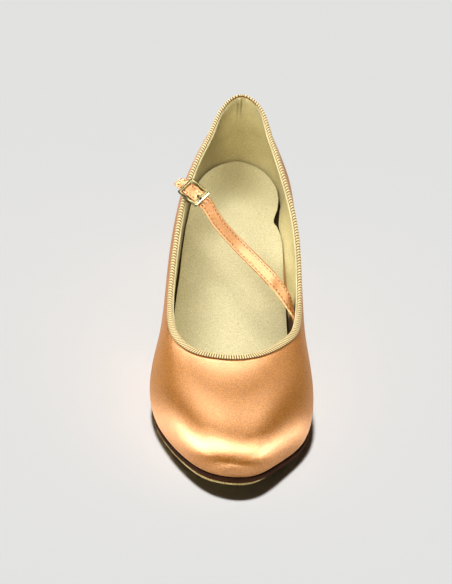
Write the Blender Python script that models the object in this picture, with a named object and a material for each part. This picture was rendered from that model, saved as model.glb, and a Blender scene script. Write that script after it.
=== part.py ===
"""Ballroom dance shoe, right foot: a closed satin court shoe on a covered heel.

A thin hollow upper stands on a leatherboard sole with a suede outsole, and a satin
strap runs slantwise over the instep to a small buckle on the outer side.

Axes: the toe points to -Y, the inner side of the foot is +X, +Z is up, floor at Z = 0.
"Station" is the distance from the tip of the toe towards the heel, measured in plan.
Rows of a loop always run from the toe along the outer side to the back seam, and home
along the inner side, so point k and point -k face each other across the shoe.
"""

import bpy
import numpy as np
from collections import namedtuple
from math import cos, pi, radians, sin

MM = 0.001

# Sizes of the shoe, in metres.
LENGTH = 0.232          # toe to back seam, in plan
BALL_WIDTH = 0.084      # across the outside of the upper at the joints
INSTEP_HEIGHT = 0.0430  # floor to the middle of the throat
SEAT_HEIGHT = 0.0620    # floor to the foot of the upper at the back seam
BACK_HEIGHT = 0.0480    # back seam, from the seat to the topline
TOE_SPRING = 0.0060     # lift of the sole at the toe

# Thickness of each layer, and the clearance between layers that touch.
WALL = 0.0016           # satin, stiffener and lining glued into one wall
INSOLE = 0.0030
BOARD_FOREPART = 0.0022
BOARD_SEAT = 0.0014
OUTSOLE_FOREPART = 0.0018
OUTSOLE_SHANK = 0.0012
TAPE = 0.0004           # binding tape folded over the topline
TAPE_DEPTH = 0.0026
GAP = 0.0003

# The last the sections below are drafted on; they are graded from it to the sizes above.
DRAFT_LENGTH = 0.232
DRAFT_BALL = 0.084
DRAFT_BACK = 0.048

# The underside of the shoe, as stations: flat at the tread, rising through the arch.
TREAD_START = 0.056
TREAD_END = 0.092
SEAT_START = 0.188
SEAT_SLOPE = 0.13
BREAST = 0.1808         # front of the heel

# The sole is set under the foot line, and a little further in along the big toe.
BIG_TOE_FROM = 0.010
BIG_TOE_INSET = 0.0024

# Heel: a covered block, hollowed at the front, on a plain top piece.
HEEL_TIP = 0.005
HEEL_FRONT_POINTS = 6

# Strap: a satin band from inside the inner wall to the buckle, 1.2 mm through.
STRAP_WIDTH = 0.0072
STRAP_ROOT_WIDTH = 0.0090   # along the topline, which it meets aslant
STRAP_THICKNESS = 0.0012
STRAP_ROOT = 76.5       # place of its root, counted in points round the topline
TAB_WIDTH = 0.0060
TAB_THICKNESS = 0.0005
TAB_ROOT = 30.9

# Buckle: a bowed frame over the outer topline, its ends higher than the crossbar.
BUCKLE_HALF_LENGTH = 0.0072
BUCKLE_HALF_WIDTH = 0.00565
BUCKLE_SIDE = 0.00125
BUCKLE_FAR_BAR = 0.0015
BUCKLE_NEAR_BAR = 0.0030
BUCKLE_THICKNESS = 0.0011
BUCKLE_CHAMFER = 0.0002
BUCKLE_CORNER = 0.0009
BUCKLE_BOW = 0.00315
BUCKLE_FLAT_FROM = 0.0042
WINDOW_CORNER = 0.0003
CROSSBAR_HALF = 0.0006
SIDE_STOPS = (-0.0042, -0.0032, -0.0020, -CROSSBAR_HALF, CROSSBAR_HALF, 0.0020, 0.0030)
PRONG_WIDTH = 0.0012
PRONG_THICKNESS = 0.0005

# Mesh density.
PER_SECTION = 4         # points around the shoe from one section to the next
PROFILE_STEPS = 14      # points from the foot of the upper to the topline

# One row for each section, in millimetres. The foot of the wall lies at station foot_at,
# foot_out from the middle line, and the topline at top_at, top_out, and top_rise above
# the foot line there. The wall leaves its foot leaning low_out over low_up, and comes
# to the topline from high_out outside it and high_down below it.
Section = namedtuple("Section", "name foot_at foot_out top_at top_out top_rise "
                                "low_out low_up high_out high_down")

TOE = Section("toe", 2.5, -3.0, 57.0, 0.5, 38.4, 9.0, 15.0, 26.0, 4.0)

OUTER_SIDE = [
    Section("toe corner", 6.5, 10.0, 57.8, 10.0, 38.4, 7.0, 15.0, 24.0, 4.0),
    Section("toe side", 19.0, 21.0, 61.5, 19.5, 38.5, 6.0, 14.5, 19.0, 4.5),
    Section("little toe", 38.0, 31.5, 70.5, 27.3, 39.0, 6.0, 14.0, 12.8, 6.0),
    Section("outer joint", 62.0, 39.0, 83.0, 31.5, 40.0, 5.5, 13.0, 7.6, 9.0),
    Section("ball", 88.0, 38.0, 99.5, 33.3, 41.5, 4.5, 12.0, 4.0, 11.0),
    Section("waist front", 114.0, 35.2, 119.0, 33.0, 43.0, 4.5, 12.0, 3.5, 12.0),
    Section("waist", 140.0, 33.0, 142.0, 30.8, 43.0, 5.5, 12.0, 5.0, 12.0),
    Section("shank", 164.0, 30.5, 165.0, 25.8, 41.8, 6.5, 12.0, 6.0, 12.0),
    Section("quarter", 186.0, 27.5, 186.0, 18.8, 42.0, 7.0, 12.0, 7.5, 12.0),
    Section("counter", 206.0, 23.5, 203.5, 14.3, 44.5, 6.5, 12.0, 6.5, 13.0),
    Section("back corner", 221.5, 14.0, 217.5, 9.2, 47.2, 6.0, 12.0, 4.5, 14.0),
]

BACK = Section("back seam", 228.5, 0.0, 226.0, 0.0, 48.0, 4.5, 12.0, 3.0, 14.0)

INNER_SIDE = [
    Section("toe corner", 6.5, 14.0, 59.2, 9.0, 38.4, 7.0, 15.0, 24.0, 4.0),
    Section("toe side", 19.0, 24.5, 65.3, 18.3, 38.5, 6.0, 14.5, 19.0, 4.5),
    Section("big toe", 38.0, 36.3, 74.5, 26.5, 39.0, 6.0, 14.0, 12.5, 6.0),
    Section("inner joint", 62.0, 40.3, 84.5, 31.5, 40.0, 5.0, 13.0, 7.5, 9.0),
    Section("ball", 88.0, 37.2, 99.5, 33.6, 41.5, 4.8, 13.0, 4.5, 11.0),
    Section("waist front", 114.0, 33.2, 119.0, 33.6, 43.0, 5.8, 14.0, 3.5, 12.0),
    Section("waist", 140.0, 31.0, 142.0, 30.9, 43.0, 6.0, 14.0, 4.0, 12.0),
    Section("shank", 164.0, 29.0, 165.0, 24.2, 41.8, 7.0, 13.0, 6.5, 12.0),
    Section("quarter", 186.0, 27.0, 186.0, 18.2, 42.0, 7.5, 12.0, 8.0, 12.0),
    Section("counter", 206.0, 23.0, 203.5, 14.4, 44.5, 7.0, 12.0, 6.5, 13.0),
    Section("back corner", 221.5, 14.0, 217.5, 9.8, 47.2, 6.0, 12.0, 4.5, 14.0),
]


def material(name, colour, roughness, metallic=0.0):
    """A plain finish for one sub-part."""
    finish = bpy.data.materials.new(name)
    finish.use_nodes = True
    shader = finish.node_tree.nodes["Principled BSDF"]
    shader.inputs["Base Color"].default_value = (*colour, 1.0)
    shader.inputs["Roughness"].default_value = roughness
    shader.inputs["Metallic"].default_value = metallic
    return finish


def solid(name, points, faces, finish, smooth_below=40.0):
    """One closed piece from its points and faces."""
    mesh = bpy.data.meshes.new(name)
    mesh.from_pydata([tuple(map(float, p)) for p in points], [], faces)
    mesh.validate()
    mesh.materials.append(finish)
    mesh.shade_smooth()
    mesh.set_sharp_from_angle(angle=radians(smooth_below))
    piece = bpy.data.objects.new(name, mesh)
    bpy.context.collection.objects.link(piece)
    return piece


def lift(station):
    """Height of the underside above the tread: toe spring, flat tread, arch and seat."""
    s = np.asarray(station, float)
    seat_lift = SEAT_HEIGHT - FOOT_BASE
    start_lift = seat_lift - SEAT_SLOPE * (LENGTH - SEAT_START)
    spring = TOE_SPRING * (np.clip(TREAD_START - s, 0, None) / TREAD_START) ** 2
    span = SEAT_START - TREAD_END
    u = np.clip((s - TREAD_END) / span, 0, 1)
    arch = start_lift * (3 * u ** 2 - 2 * u ** 3) + SEAT_SLOPE * span * (u ** 3 - u ** 2)
    seat = SEAT_SLOPE * np.clip(s - SEAT_START, 0, None)
    return spring + arch + seat


def slope_factor(station):
    """Vertical depth taken by one unit of thickness where the underside slopes."""
    step = 0.0005
    slope = (lift(station + step) - lift(station - step)) / (2 * step)
    return np.sqrt(1 + slope ** 2)


# Height of the foot of the upper above the floor at the tread.
FOOT_BASE = OUTSOLE_FOREPART + BOARD_FOREPART + 2 * GAP


def closed_spline(rows, per_row):
    """A smooth closed curve of any dimension through the rows, per_row points to a span."""
    rows = np.asarray(rows, float)
    count = len(rows)
    system = 4 * np.eye(count) + np.roll(np.eye(count), 1, 0) + np.roll(np.eye(count), -1, 0)
    ahead = np.roll(rows, -1, 0)
    bend = np.linalg.solve(system, 6 * (ahead - 2 * rows + np.roll(rows, 1, 0)))
    bend_ahead = np.roll(bend, -1, 0)
    out = []
    for k in range(count):
        for j in range(per_row):
            u = j / per_row
            w = 1 - u
            out.append(w * rows[k] + u * ahead[k]
                       + ((w ** 3 - w) * bend[k] + (u ** 3 - u) * bend_ahead[k]) / 6)
    return np.array(out)


def loop_normals(loop):
    """Unit outward directions in plan along a loop that runs clockwise from above."""
    along = np.roll(loop, -1, 0) - np.roll(loop, 1, 0)
    out = np.stack([-along[:, 1], along[:, 0], np.zeros(len(loop))], 1)
    centre = loop.mean(0)
    if np.sum(out[0] * (loop[0] - centre)) < 0:
        out = -out
    return out / np.linalg.norm(out, axis=1)[:, None]


def drafted_rows():
    """The section table, graded to the shoe's sizes: one row of metres per section."""
    long = LENGTH / DRAFT_LENGTH * MM
    wide = BALL_WIDTH / DRAFT_BALL * MM
    tall = BACK_HEIGHT / DRAFT_BACK * MM
    throat_rise = INSTEP_HEIGHT - FOOT_BASE - float(lift(TOE.top_at * long))
    rows = []
    ring = [(TOE, -1)] + [(s, -1) for s in OUTER_SIDE] + [(BACK, -1)]
    ring += [(s, 1) for s in reversed(INNER_SIDE)]
    for s, side in ring:
        share = min(1.0, max(0.0, (s.top_at - TOE.top_at) / (BACK.top_at - TOE.top_at)))
        rise = s.top_rise * ((1 - share) * throat_rise / TOE.top_rise + share * tall)
        rows.append([side * s.foot_out * wide, s.foot_at * long,
                     side * s.top_out * wide, s.top_at * long, rise,
                     s.low_out * MM, s.low_up * MM, s.high_out * MM, s.high_down * MM])
    return rows


def wall_grid(steps):
    """The outside of the upper: steps + 1 loops, from the foot line up to the topline."""
    drafted = closed_spline(drafted_rows(), PER_SECTION)
    foot_x, foot_at, top_x, top_at, rise, low_out, low_up, high_out, high_down = drafted.T
    foot = np.stack([foot_x, foot_at, FOOT_BASE + lift(foot_at)], 1)
    top = np.stack([top_x, top_at, FOOT_BASE + lift(top_at) + rise], 1)
    up = np.array([0.0, 0.0, 1.0])
    low = foot + loop_normals(foot) * low_out[:, None] + up * low_up[:, None]
    high = top + loop_normals(top) * high_out[:, None] - up * high_down[:, None]
    grid = []
    for k in range(steps + 1):
        v = k / steps
        w = 1 - v
        grid.append(w ** 3 * foot + 3 * w * w * v * low + 3 * w * v * v * high + v ** 3 * top)
    return np.array(grid)


def grid_normals(grid):
    """Unit normals of the wall, pointing out of the shoe."""
    around = np.roll(grid, -1, 1) - np.roll(grid, 1, 1)
    upward = np.gradient(grid, axis=0)
    normal = np.cross(upward, around)
    normal /= np.linalg.norm(normal, axis=2)[:, :, None]
    if np.mean(normal[0, 0] * (grid[0, 0] - grid[0].mean(0))) < 0:
        normal = -normal
    return normal


def place(points):
    """From stations to the shoe's frame: middle of the length at Y = 0."""
    return points + np.array([SHIFT_X, SHIFT_Y, 0.0])


# The shoe's frame has its origin under the middle of its box.
SHIFT_X = -0.000315
SHIFT_Y = 0.00012 - LENGTH / 2

GRID = wall_grid(PROFILE_STEPS)
NORMALS = grid_normals(GRID)
FOOT = GRID[0]
COUNT = len(FOOT)
HALF = COUNT // 2


def quads_between(first, second, count, closed=True):
    """Faces of a band between two rows of points that start at the given indices."""
    faces = []
    for k in range(count if closed else count - 1):
        n = (k + 1) % count
        faces.append((first + k, second + k, second + n, first + n))
    return faces


def upper():
    """The hollow wall: outside, inside one wall thickness in, and rims that join them."""
    inside = GRID - NORMALS * WALL
    loops = np.concatenate([GRID, inside[::-1]])
    total = len(loops)
    faces = []
    for k in range(total):
        faces += quads_between(k * COUNT, (k + 1) % total * COUNT, COUNT)
    points = place(loops.reshape(-1, 3))
    return solid("upper", points, faces, material("peach_satin", (0.68, 0.32, 0.12), 0.35))


def binding():
    """Tape folded over the topline: a narrow U that clears the wall by one gap."""
    rim = GRID[-1]
    out = NORMALS[-1]
    rise = GRID[-1] - GRID[-2]
    rise /= np.linalg.norm(rise, axis=1)[:, None]
    face = GAP + TAPE
    middle = -WALL / 2
    section = [
        (face, -TAPE_DEPTH), (face, 0.0), (GAP, GAP + 0.8 * TAPE), (middle, GAP + 1.2 * TAPE),
        (-WALL - GAP, GAP + 0.8 * TAPE), (-WALL - face, 0.0), (-WALL - face, -TAPE_DEPTH),
        (-WALL - GAP, -TAPE_DEPTH), (-WALL - GAP, 0.7 * GAP), (middle, GAP),
        (GAP, 0.7 * GAP), (GAP, -TAPE_DEPTH),
    ]
    points = []
    for n, t in section:
        points.extend(rim + out * n + rise * t)
    faces = []
    for k in range(len(section)):
        faces += quads_between(k * COUNT, (k + 1) % len(section) * COUNT, COUNT)
    return solid("topline_binding", place(np.array(points)), faces,
                 material("gold_binding", (0.78, 0.62, 0.36), 0.5))


def plate(name, outline, top, bottom, rows, finish):
    """A sheet under the foot. Each row joins two facing points of the outline."""
    points = []
    upper_ids = []
    for k in rows:
        pair = [k, (COUNT - k) % COUNT] if 0 < k < HALF else [k]
        upper_ids.append(list(range(len(points), len(points) + len(pair))))
        points += [(*outline[i][:2], top[i]) for i in pair]
    depth = len(points)
    for k in rows:
        pair = [k, (COUNT - k) % COUNT] if 0 < k < HALF else [k]
        points += [(*outline[i][:2], bottom[i]) for i in pair]
    faces = []
    for a, b in zip(upper_ids, upper_ids[1:]):
        ring = [a[0], *a[1:], *reversed(b[1:]), b[0]]
        faces.append(tuple(ring))
        faces.append(tuple(i + depth for i in reversed(ring)))
        faces.append((a[0], b[0], b[0] + depth, a[0] + depth))
        faces.append((b[-1], a[-1], a[-1] + depth, b[-1] + depth))
    for end, flip in ((upper_ids[0], True), (upper_ids[-1], False)):
        if len(end) == 2:
            side = (end[0], end[1], end[1] + depth, end[0] + depth)
            faces.append(side[::-1] if flip else side)
    return solid(name, place(np.array(points)), faces, finish)


def shrunk(inset):
    """The foot line moved in by inset, a number or one for each point."""
    return FOOT - loop_normals(FOOT) * np.broadcast_to(inset, COUNT)[:, None]


def share_of_seat(station):
    """0 at the forepart, 1 at the heel seat."""
    u = np.clip((station - TREAD_END) / (BREAST - TREAD_END), 0, 1)
    return u * u * (3 - 2 * u)


def under(outline, depth):
    """Heights below the foot of the wall by a thickness measured square to the sole."""
    station = outline[:, 1]
    return FOOT_BASE + lift(station) - depth * slope_factor(station)


def sole_inset(forepart, seat):
    """Inset of a sole edge: forepart to seat, and further in along the big toe."""
    station = FOOT[:, 1]
    toe_side = np.clip((FOOT[:, 0] - BIG_TOE_FROM) / BIG_TOE_FROM, 0, 1)
    toe_side = toe_side * np.clip((TREAD_END - station) / (TREAD_END - TREAD_START), 0, 1)
    return forepart + (seat - forepart) * share_of_seat(station) + BIG_TOE_INSET * toe_side


def board_depth(station):
    """Thickness of the sole board, thinner under the heel."""
    return BOARD_FOREPART + (BOARD_SEAT - BOARD_FOREPART) * share_of_seat(station)


def sole_board():
    """Dark leatherboard under the whole upper, flush at the toe and set in at the seat."""
    inset = sole_inset(0.0002, 0.0009)
    outline = shrunk(inset)
    depth = board_depth(outline[:, 1])
    return plate("sole_board", outline, under(outline, GAP), under(outline, GAP + depth),
                 range(HALF + 1), material("brown_leatherboard", (0.07, 0.025, 0.01), 0.6))


def outsole():
    """Suede from the toe to the front of the heel."""
    inset = sole_inset(0.0000, 0.0026)
    outline = shrunk(inset)
    station = outline[:, 1]
    thick = OUTSOLE_FOREPART + (OUTSOLE_SHANK - OUTSOLE_FOREPART) * share_of_seat(station)
    start = 2 * GAP + board_depth(station)
    rows = [k for k in range(HALF + 1) if station[k] < BREAST - GAP]
    return plate("suede_outsole", outline, under(outline, start), under(outline, start + thick),
                 rows, material("suede", (0.55, 0.45, 0.25), 0.95))


def insole():
    """Insole with its sock, lying on the board inside the wall."""
    outline = shrunk(WALL + GAP)
    return plate("insole", outline, under(outline, -INSOLE), under(outline, 0.0),
                 range(HALF + 1), material("sock_leather", (0.70, 0.60, 0.36), 0.7))


def ring_cap(ring_pairs, front, flip):
    """Flat strips across a ring: its front edge, then pairs of facing points to the back."""
    faces = [(*front[::-1], ring_pairs[0][1], ring_pairs[0][0])]
    for a, b in zip(ring_pairs, ring_pairs[1:]):
        faces.append((a[0], a[1], b[1], b[0]) if len(set(b)) == 2 else (a[0], a[1], b[0]))
    return [f[::-1] for f in faces] if flip else faces


# Heel sections from the seat down: drop is the share of the height, half_width, front and
# back (stations) and hollow (how far the front face is scooped out), in millimetres.
HeelSection = namedtuple("HeelSection", "drop half_width front back hollow")

HEEL = [
    HeelSection(0.00, 25.6, 180.8, 228.0, 0.0),
    HeelSection(0.08, 25.0, 182.2, 228.2, 0.6),
    HeelSection(0.20, 22.6, 186.0, 227.6, 1.6),
    HeelSection(0.36, 18.6, 191.5, 226.4, 2.4),
    HeelSection(0.54, 14.8, 196.3, 225.0, 2.4),
    HeelSection(0.72, 12.6, 199.0, 224.0, 2.0),
    HeelSection(0.88, 12.2, 199.3, 223.8, 1.4),
    HeelSection(1.00, 12.8, 198.5, 224.3, 1.0),
]


def heel_rings():
    """Loops of the heel from the seat down, and the ids of facing pairs and front edge."""
    outline = shrunk(sole_inset(0.0002, 0.0009))
    station = outline[:, 1]
    rows = [k for k in range(HALF + 1) if station[k] > BREAST + 0.001]
    outer = [outline[k] for k in rows]
    inner = [outline[(COUNT - k) % COUNT] for k in rows[:-1]]
    reach = max(p[1] for p in outer) - BREAST
    wide = max(abs(p[0]) for p in outer + inner)
    shape = [(p[0] / wide, (p[1] - BREAST) / reach) for p in outer + inner[::-1]]
    left, right = shape[0][0], shape[-1][0]
    front = [(right + (left - right) * j / HEEL_FRONT_POINTS, 0.0)
             for j in range(HEEL_FRONT_POINTS + 1)]
    shape = shape + front
    seat = BREAST + np.array([max(0.0, b) for _, b in shape]) * reach
    depth = 2 * GAP + board_depth(seat)
    top = FOOT_BASE + lift(seat) - depth * slope_factor(seat)
    rings = []
    for row in HEEL:
        ring = []
        for (a, b), z in zip(shape, top):
            scoop = row.hollow * MM * max(0.0, 1 - a * a) * max(0.0, 1 - 2 * b)
            y = row.front * MM + b * (row.back - row.front) * MM + scoop
            ring.append((a * row.half_width * MM, y, z + row.drop * (HEEL_TIP + GAP - z)))
        rings.append(ring)
    count = len(shape)
    back = len(rows) - 1
    pairs = [(k, 2 * back - k) for k in range(back)] + [(back, back)]
    edge = list(range(2 * back + 1, count))
    return np.array(rings), pairs, edge


def heel():
    """The block under the seat."""
    rings, pairs, edge = heel_rings()
    count = rings.shape[1]
    faces = ring_cap(pairs, edge, False)
    for k in range(len(rings) - 1):
        faces += quads_between((k + 1) * count, k * count, count)
    last = (len(rings) - 1) * count
    bottom_pairs = [(a + last, b + last) for a, b in pairs]
    faces += ring_cap(bottom_pairs, [e + last for e in edge], True)
    return solid("covered_heel", place(rings.reshape(-1, 3)), faces,
                 material("heel_satin", (0.68, 0.32, 0.12), 0.35))


def heel_tip():
    """The wearing piece at the foot of the heel, flat on the floor."""
    rings, pairs, edge = heel_rings()
    ring = rings[-1]
    count = len(ring)
    points = np.concatenate([ring, ring])
    points[:count, 2] = HEEL_TIP
    points[count:, 2] = 0.0
    faces = ring_cap(pairs, edge, False) + quads_between(count, 0, count)
    bottom_pairs = [(a + count, b + count) for a, b in pairs]
    faces += ring_cap(bottom_pairs, [e + count for e in edge], True)
    return solid("heel_tip", place(points), faces,
                 material("heel_tip_plastic", (0.05, 0.045, 0.04), 0.9))


# The buckle's own frame: its middle, the way along the strap towards the inner side, and
# the way across it towards the back of the shoe.
BUCKLE_CENTRE = np.array([-24.315, 34.57, 84.95]) * MM
BUCKLE_ALONG = np.array([0.7231, -0.6401, -0.2600])
BUCKLE_ALONG /= np.linalg.norm(BUCKLE_ALONG)
BUCKLE_UP = np.cross(BUCKLE_ALONG, [0.668, 0.552, 0.499])
BUCKLE_UP /= np.linalg.norm(BUCKLE_UP)
BUCKLE_ACROSS = np.cross(BUCKLE_UP, BUCKLE_ALONG)


def at_buckle(along, across, up):
    """A point of the buckle's frame, given in millimetres, in the shoe's frame."""
    offset = along * BUCKLE_ALONG + across * BUCKLE_ACROSS + up * BUCKLE_UP
    return BUCKLE_CENTRE + offset * MM


def by_wall(column, down, inward):
    """A point inside the wall, and the way towards the back of the shoe beside it.

    column counts points round the topline, down runs from the rim along the wall.
    """
    k = int(column)
    u = column - k
    line = ((1 - u) * GRID[:, k] + u * GRID[:, k + 1])[::-1]
    normal = ((1 - u) * NORMALS[:, k] + u * NORMALS[:, k + 1])[::-1]
    reach = np.append(0.0, np.cumsum(np.linalg.norm(np.diff(line, axis=0), axis=1)))
    spot = np.array([np.interp(down, reach, line[:, i]) for i in range(3)])
    spot += min(0.0, down) * (line[1] - line[0]) / reach[1]
    out = np.array([np.interp(down, reach, normal[:, i]) for i in range(3)])
    back = (GRID[-1][k + 1] - GRID[-1][k]) * (1 if k < HALF else -1)
    return place(spot - out * inward), back / np.linalg.norm(back)


def bent_sheet(name, middles, across, columns, thickness, holes, finish):
    """A band of even thickness: rows of points across a middle line, some cells left open."""
    middles = np.array(middles)
    across = np.array(across)
    grid = middles[:, None, :] + across[:, None, :] * np.array(columns)[None, :, None]
    normal = np.cross(np.gradient(grid, axis=0), np.gradient(grid, axis=1))
    normal /= np.linalg.norm(normal, axis=2)[:, :, None]
    rows, wide = grid.shape[:2]
    top = (grid + normal * thickness / 2).reshape(-1, 3)
    bottom = (grid - normal * thickness / 2).reshape(-1, 3)
    depth = rows * wide
    cells = {(r, c) for r in range(rows - 1) for c in range(wide - 1)} - set(holes)
    faces = []
    for r, c in sorted(cells):
        ring = [r * wide + c, (r + 1) * wide + c, (r + 1) * wide + c + 1, r * wide + c + 1]
        faces.append(tuple(ring))
        faces.append(tuple(i + depth for i in reversed(ring)))
        beside = [(r, c - 1), (r + 1, c), (r, c + 1), (r - 1, c)]
        for n, cell in enumerate(beside):
            if cell not in cells:
                a, b = ring[n], ring[(n + 1) % 4]
                faces.append((b, a, a + depth, b + depth))
    return solid(name, np.concatenate([top, bottom]), faces, finish, 50.0)


# Strap rows at the buckle, in millimetres: how far along, how high, and half the width.
StrapRow = namedtuple("StrapRow", "along up half")

STRAP_ROWS = [
    StrapRow(-12.7, -2.1, 2.6),
    StrapRow(-12.3, -2.0, 3.2),
    StrapRow(-11.3, -1.85, 3.6),
    StrapRow(-9.0, -1.6, 3.6),
    StrapRow(-6.4, -1.55, 3.6),
    StrapRow(-3.6, -1.3, 3.6),
    StrapRow(-1.4, -1.03, 3.6),
    StrapRow(1.1, -1.03, 3.6),
    StrapRow(3.4, -1.42, 3.6),
    StrapRow(5.4, -1.62, 3.6),
    StrapRow(7.4, -1.95, 3.6),
]
HOLE_ROW = 7

# The free span leaves the buckle sagging a little, and rises before it dives to its root.
STRAP_FIRST_SHARE = 0.37
STRAP_LAST_SHARE = 0.22
STRAP_SAG = np.array([-2.3, -1.0, -3.9]) * MM
STRAP_RISE = np.array([4.8, 2.0, 4.8]) * MM

# It turns down inside the wall above the rim; root rows are depth, and how far inward.
STRAP_DIVE = 0.0006
STRAP_ROOT_ROWS = ((0.003, GAP), (0.007, -GAP), (0.011, -GAP))
STRAP_SPAN_ROWS = 9


def strap():
    """The strap: tail, buckle, free span, and root inside the inner wall."""
    middles = [at_buckle(row.along, 0.0, row.up) for row in STRAP_ROWS]
    across = [BUCKLE_ACROSS * row.half * MM for row in STRAP_ROWS]
    leg = WALL + GAP + TAPE + GAP + STRAP_THICKNESS / 2
    start = middles[-1]
    end, back = by_wall(STRAP_ROOT, -STRAP_DIVE, leg + GAP)
    chord = end - start
    first = start + STRAP_FIRST_SHARE * chord + STRAP_SAG
    last = end - STRAP_LAST_SHARE * chord + STRAP_RISE
    half = STRAP_WIDTH / 2
    root_half = STRAP_ROOT_WIDTH / 2
    for j in range(1, STRAP_SPAN_ROWS + 1):
        v = 1 - (1 - j / STRAP_SPAN_ROWS) ** 1.4
        w = 1 - v
        spot = w ** 3 * start + 3 * w * w * v * first + 3 * w * v * v * last + v ** 3 * end
        turn = v ** 6
        way = BUCKLE_ACROSS * (1 - turn) + back * turn
        middles.append(spot)
        across.append(way / np.linalg.norm(way) * (half + (root_half - half) * turn))
    for down, inward in STRAP_ROOT_ROWS:
        spot, back = by_wall(STRAP_ROOT, down, leg + inward)
        middles.append(spot)
        across.append(back * root_half)
    return bent_sheet("instep_strap", middles, across, (-1.0, -0.27, 0.27, 1.0),
                      STRAP_THICKNESS, [(HOLE_ROW, 1)],
                      material("strap_satin", (0.70, 0.34, 0.14), 0.35))


# Tab rows in the buckle's frame, in millimetres; turn is how far the row has swung from
# lying square to the strap towards lying along the topline.
TabRow = namedtuple("TabRow", "along across up turn")

TAB_ROWS = [
    TabRow(-3.3, 0.3, -4.9, 1.0),
    TabRow(-2.15, 0.1, -3.6, 0.6),
    TabRow(-1.35, 0.0, -2.6, 0.0),
    TabRow(-0.8, 0.0, -2.2, 0.0),
    TabRow(0.75, 0.0, -2.2, 0.0),
    TabRow(1.1, 0.0, -2.55, 0.0),
    TabRow(1.1, 0.0, -3.65, 0.0),
    TabRow(0.75, 0.0, -4.0, 0.0),
    TabRow(-0.6, 0.0, -4.0, 0.0),
    TabRow(-1.0, 0.0, -4.15, 0.0),
]
TAB_SLOT = range(4, 12)     # rows left open for the ring of the prong

# Root rows of the tab on the wall: points back from TAB_ROOT, depth, and how far inward.
TAB_ROOT_ROWS = ((0.0, 0.0095, 0.0), (0.3, 0.0055, 0.0), (0.55, 0.0028, 0.0010))

# Line of the prong in millimetres: along the strap and up, from its ring to its tip.
PRONG_LINE = [
    (0.45, -2.2), (-0.75, -2.2), (-1.1, -2.55), (-1.1, -3.65), (-0.75, -4.0), (0.75, -4.0),
    (1.1, -3.65), (1.15, -2.8), (1.45, -2.35), (2.0, -1.75), (3.0, -0.3), (3.8, 0.85),
    (4.4, 1.15), (5.6, 1.15),
]


def tab():
    """Satin tab: up the inside of the outer wall, round the crossbar and back under."""
    half = TAB_WIDTH / 2
    close = WALL + 1.4 * GAP + TAB_THICKNESS / 2
    middles = []
    across = []
    for shift, down, inward in TAB_ROOT_ROWS:
        spot, back = by_wall(TAB_ROOT - shift, down, close + inward)
        middles.append(spot)
        across.append(back * half)
    for row in TAB_ROWS:
        middles.append(at_buckle(row.along, row.across, row.up))
        way = BUCKLE_ACROSS * (1 - row.turn) + back * row.turn
        across.append(way / np.linalg.norm(way) * half)
    return bent_sheet("buckle_tab", middles, across, (-1.0, -0.32, 0.32, 1.0), TAB_THICKNESS,
                      [(r, 1) for r in TAB_SLOT],
                      material("tab_satin", (0.68, 0.32, 0.12), 0.35))


def prong():
    """Flat wire: an open ring on the crossbar, then through the strap to the near bar."""
    middles = [at_buckle(along, 0.0, up) for along, up in PRONG_LINE]
    across = [BUCKLE_ACROSS * PRONG_WIDTH / 2] * len(middles)
    return bent_sheet("buckle_prong", middles, across, (-1.0, 1.0), PRONG_THICKNESS, [],
                      material("prong_metal", (0.83, 0.69, 0.42), 0.25, 1.0))


def bow(along):
    """Drop of the side bars from the end bars to the crossbar."""
    return -BUCKLE_BOW * cos(pi / 2 * min(1.0, abs(along) / BUCKLE_FLAT_FROM)) ** 2


def frame_outline(far, near, side, corner):
    """A rounded rectangle as (along, across), with points facing the crossbar."""
    points = []
    for turn, (x, y) in enumerate(((near - corner, side - corner), (far + corner, side - corner),
                                   (far + corner, corner - side), (near - corner, corner - side))):
        for step in range(3):
            angle = (turn + step / 2) * pi / 2
            points.append((x + corner * cos(angle), y + corner * sin(angle)))
        if turn == 0:
            points += [(s, side) for s in reversed(SIDE_STOPS)]
        if turn == 2:
            points += [(s, -side) for s in SIDE_STOPS]
    return points


def frame():
    """The frame, one piece with its crossbar."""
    half = BUCKLE_THICKNESS / 2
    edge = BUCKLE_CHAMFER
    far, near, side = -BUCKLE_HALF_LENGTH, BUCKLE_HALF_LENGTH, BUCKLE_HALF_WIDTH
    window = (far + BUCKLE_FAR_BAR, near - BUCKLE_NEAR_BAR, side - BUCKLE_SIDE)
    outer = frame_outline(far, near, side, BUCKLE_CORNER)
    outer_top = frame_outline(far + edge, near - edge, side - edge, BUCKLE_CORNER - edge)
    inner = frame_outline(*window, WINDOW_CORNER)
    inner_top = frame_outline(window[0] - edge, window[1] + edge, window[2] + edge,
                              WINDOW_CORNER + edge)
    loops = [(inner, -half), (inner, half - edge), (inner_top, half),
             (outer_top, half), (outer, half - edge), (outer, -half)]
    count = len(outer)
    points = []
    for loop, up in loops:
        for along, across in loop:
            points.append(at_buckle(along / MM, across / MM, (up + bow(along)) / MM))
    faces = []
    for k in range(len(loops)):
        faces += quads_between(k * count, (k + 1) % len(loops) * count, count)
    left = [k for k in range(count) if abs(inner[k][0]) == CROSSBAR_HALF and inner[k][1] > 0]
    right = [k for k in range(count) if abs(inner[k][0]) == CROSSBAR_HALF and inner[k][1] < 0]
    for a, b in (left, right):
        faces.remove((a, count + a, count + b, b))
    a, b = left
    c, d = right
    ring_left = [a, count + a, count + b, b]
    ring_right = [d, count + d, count + c, c]
    for n in range(4):
        m = (n + 1) % 4
        faces.append((ring_left[n], ring_left[m], ring_right[m], ring_right[n]))
    return solid("buckle_frame", np.array(points), faces,
                 material("buckle_metal", (0.83, 0.69, 0.42), 0.25, 1.0))


for old in list(bpy.data.objects):
    bpy.data.objects.remove(old)

upper()
binding()
sole_board()
outsole()
insole()
heel()
heel_tip()
strap()
tab()
prong()
frame()
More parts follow.
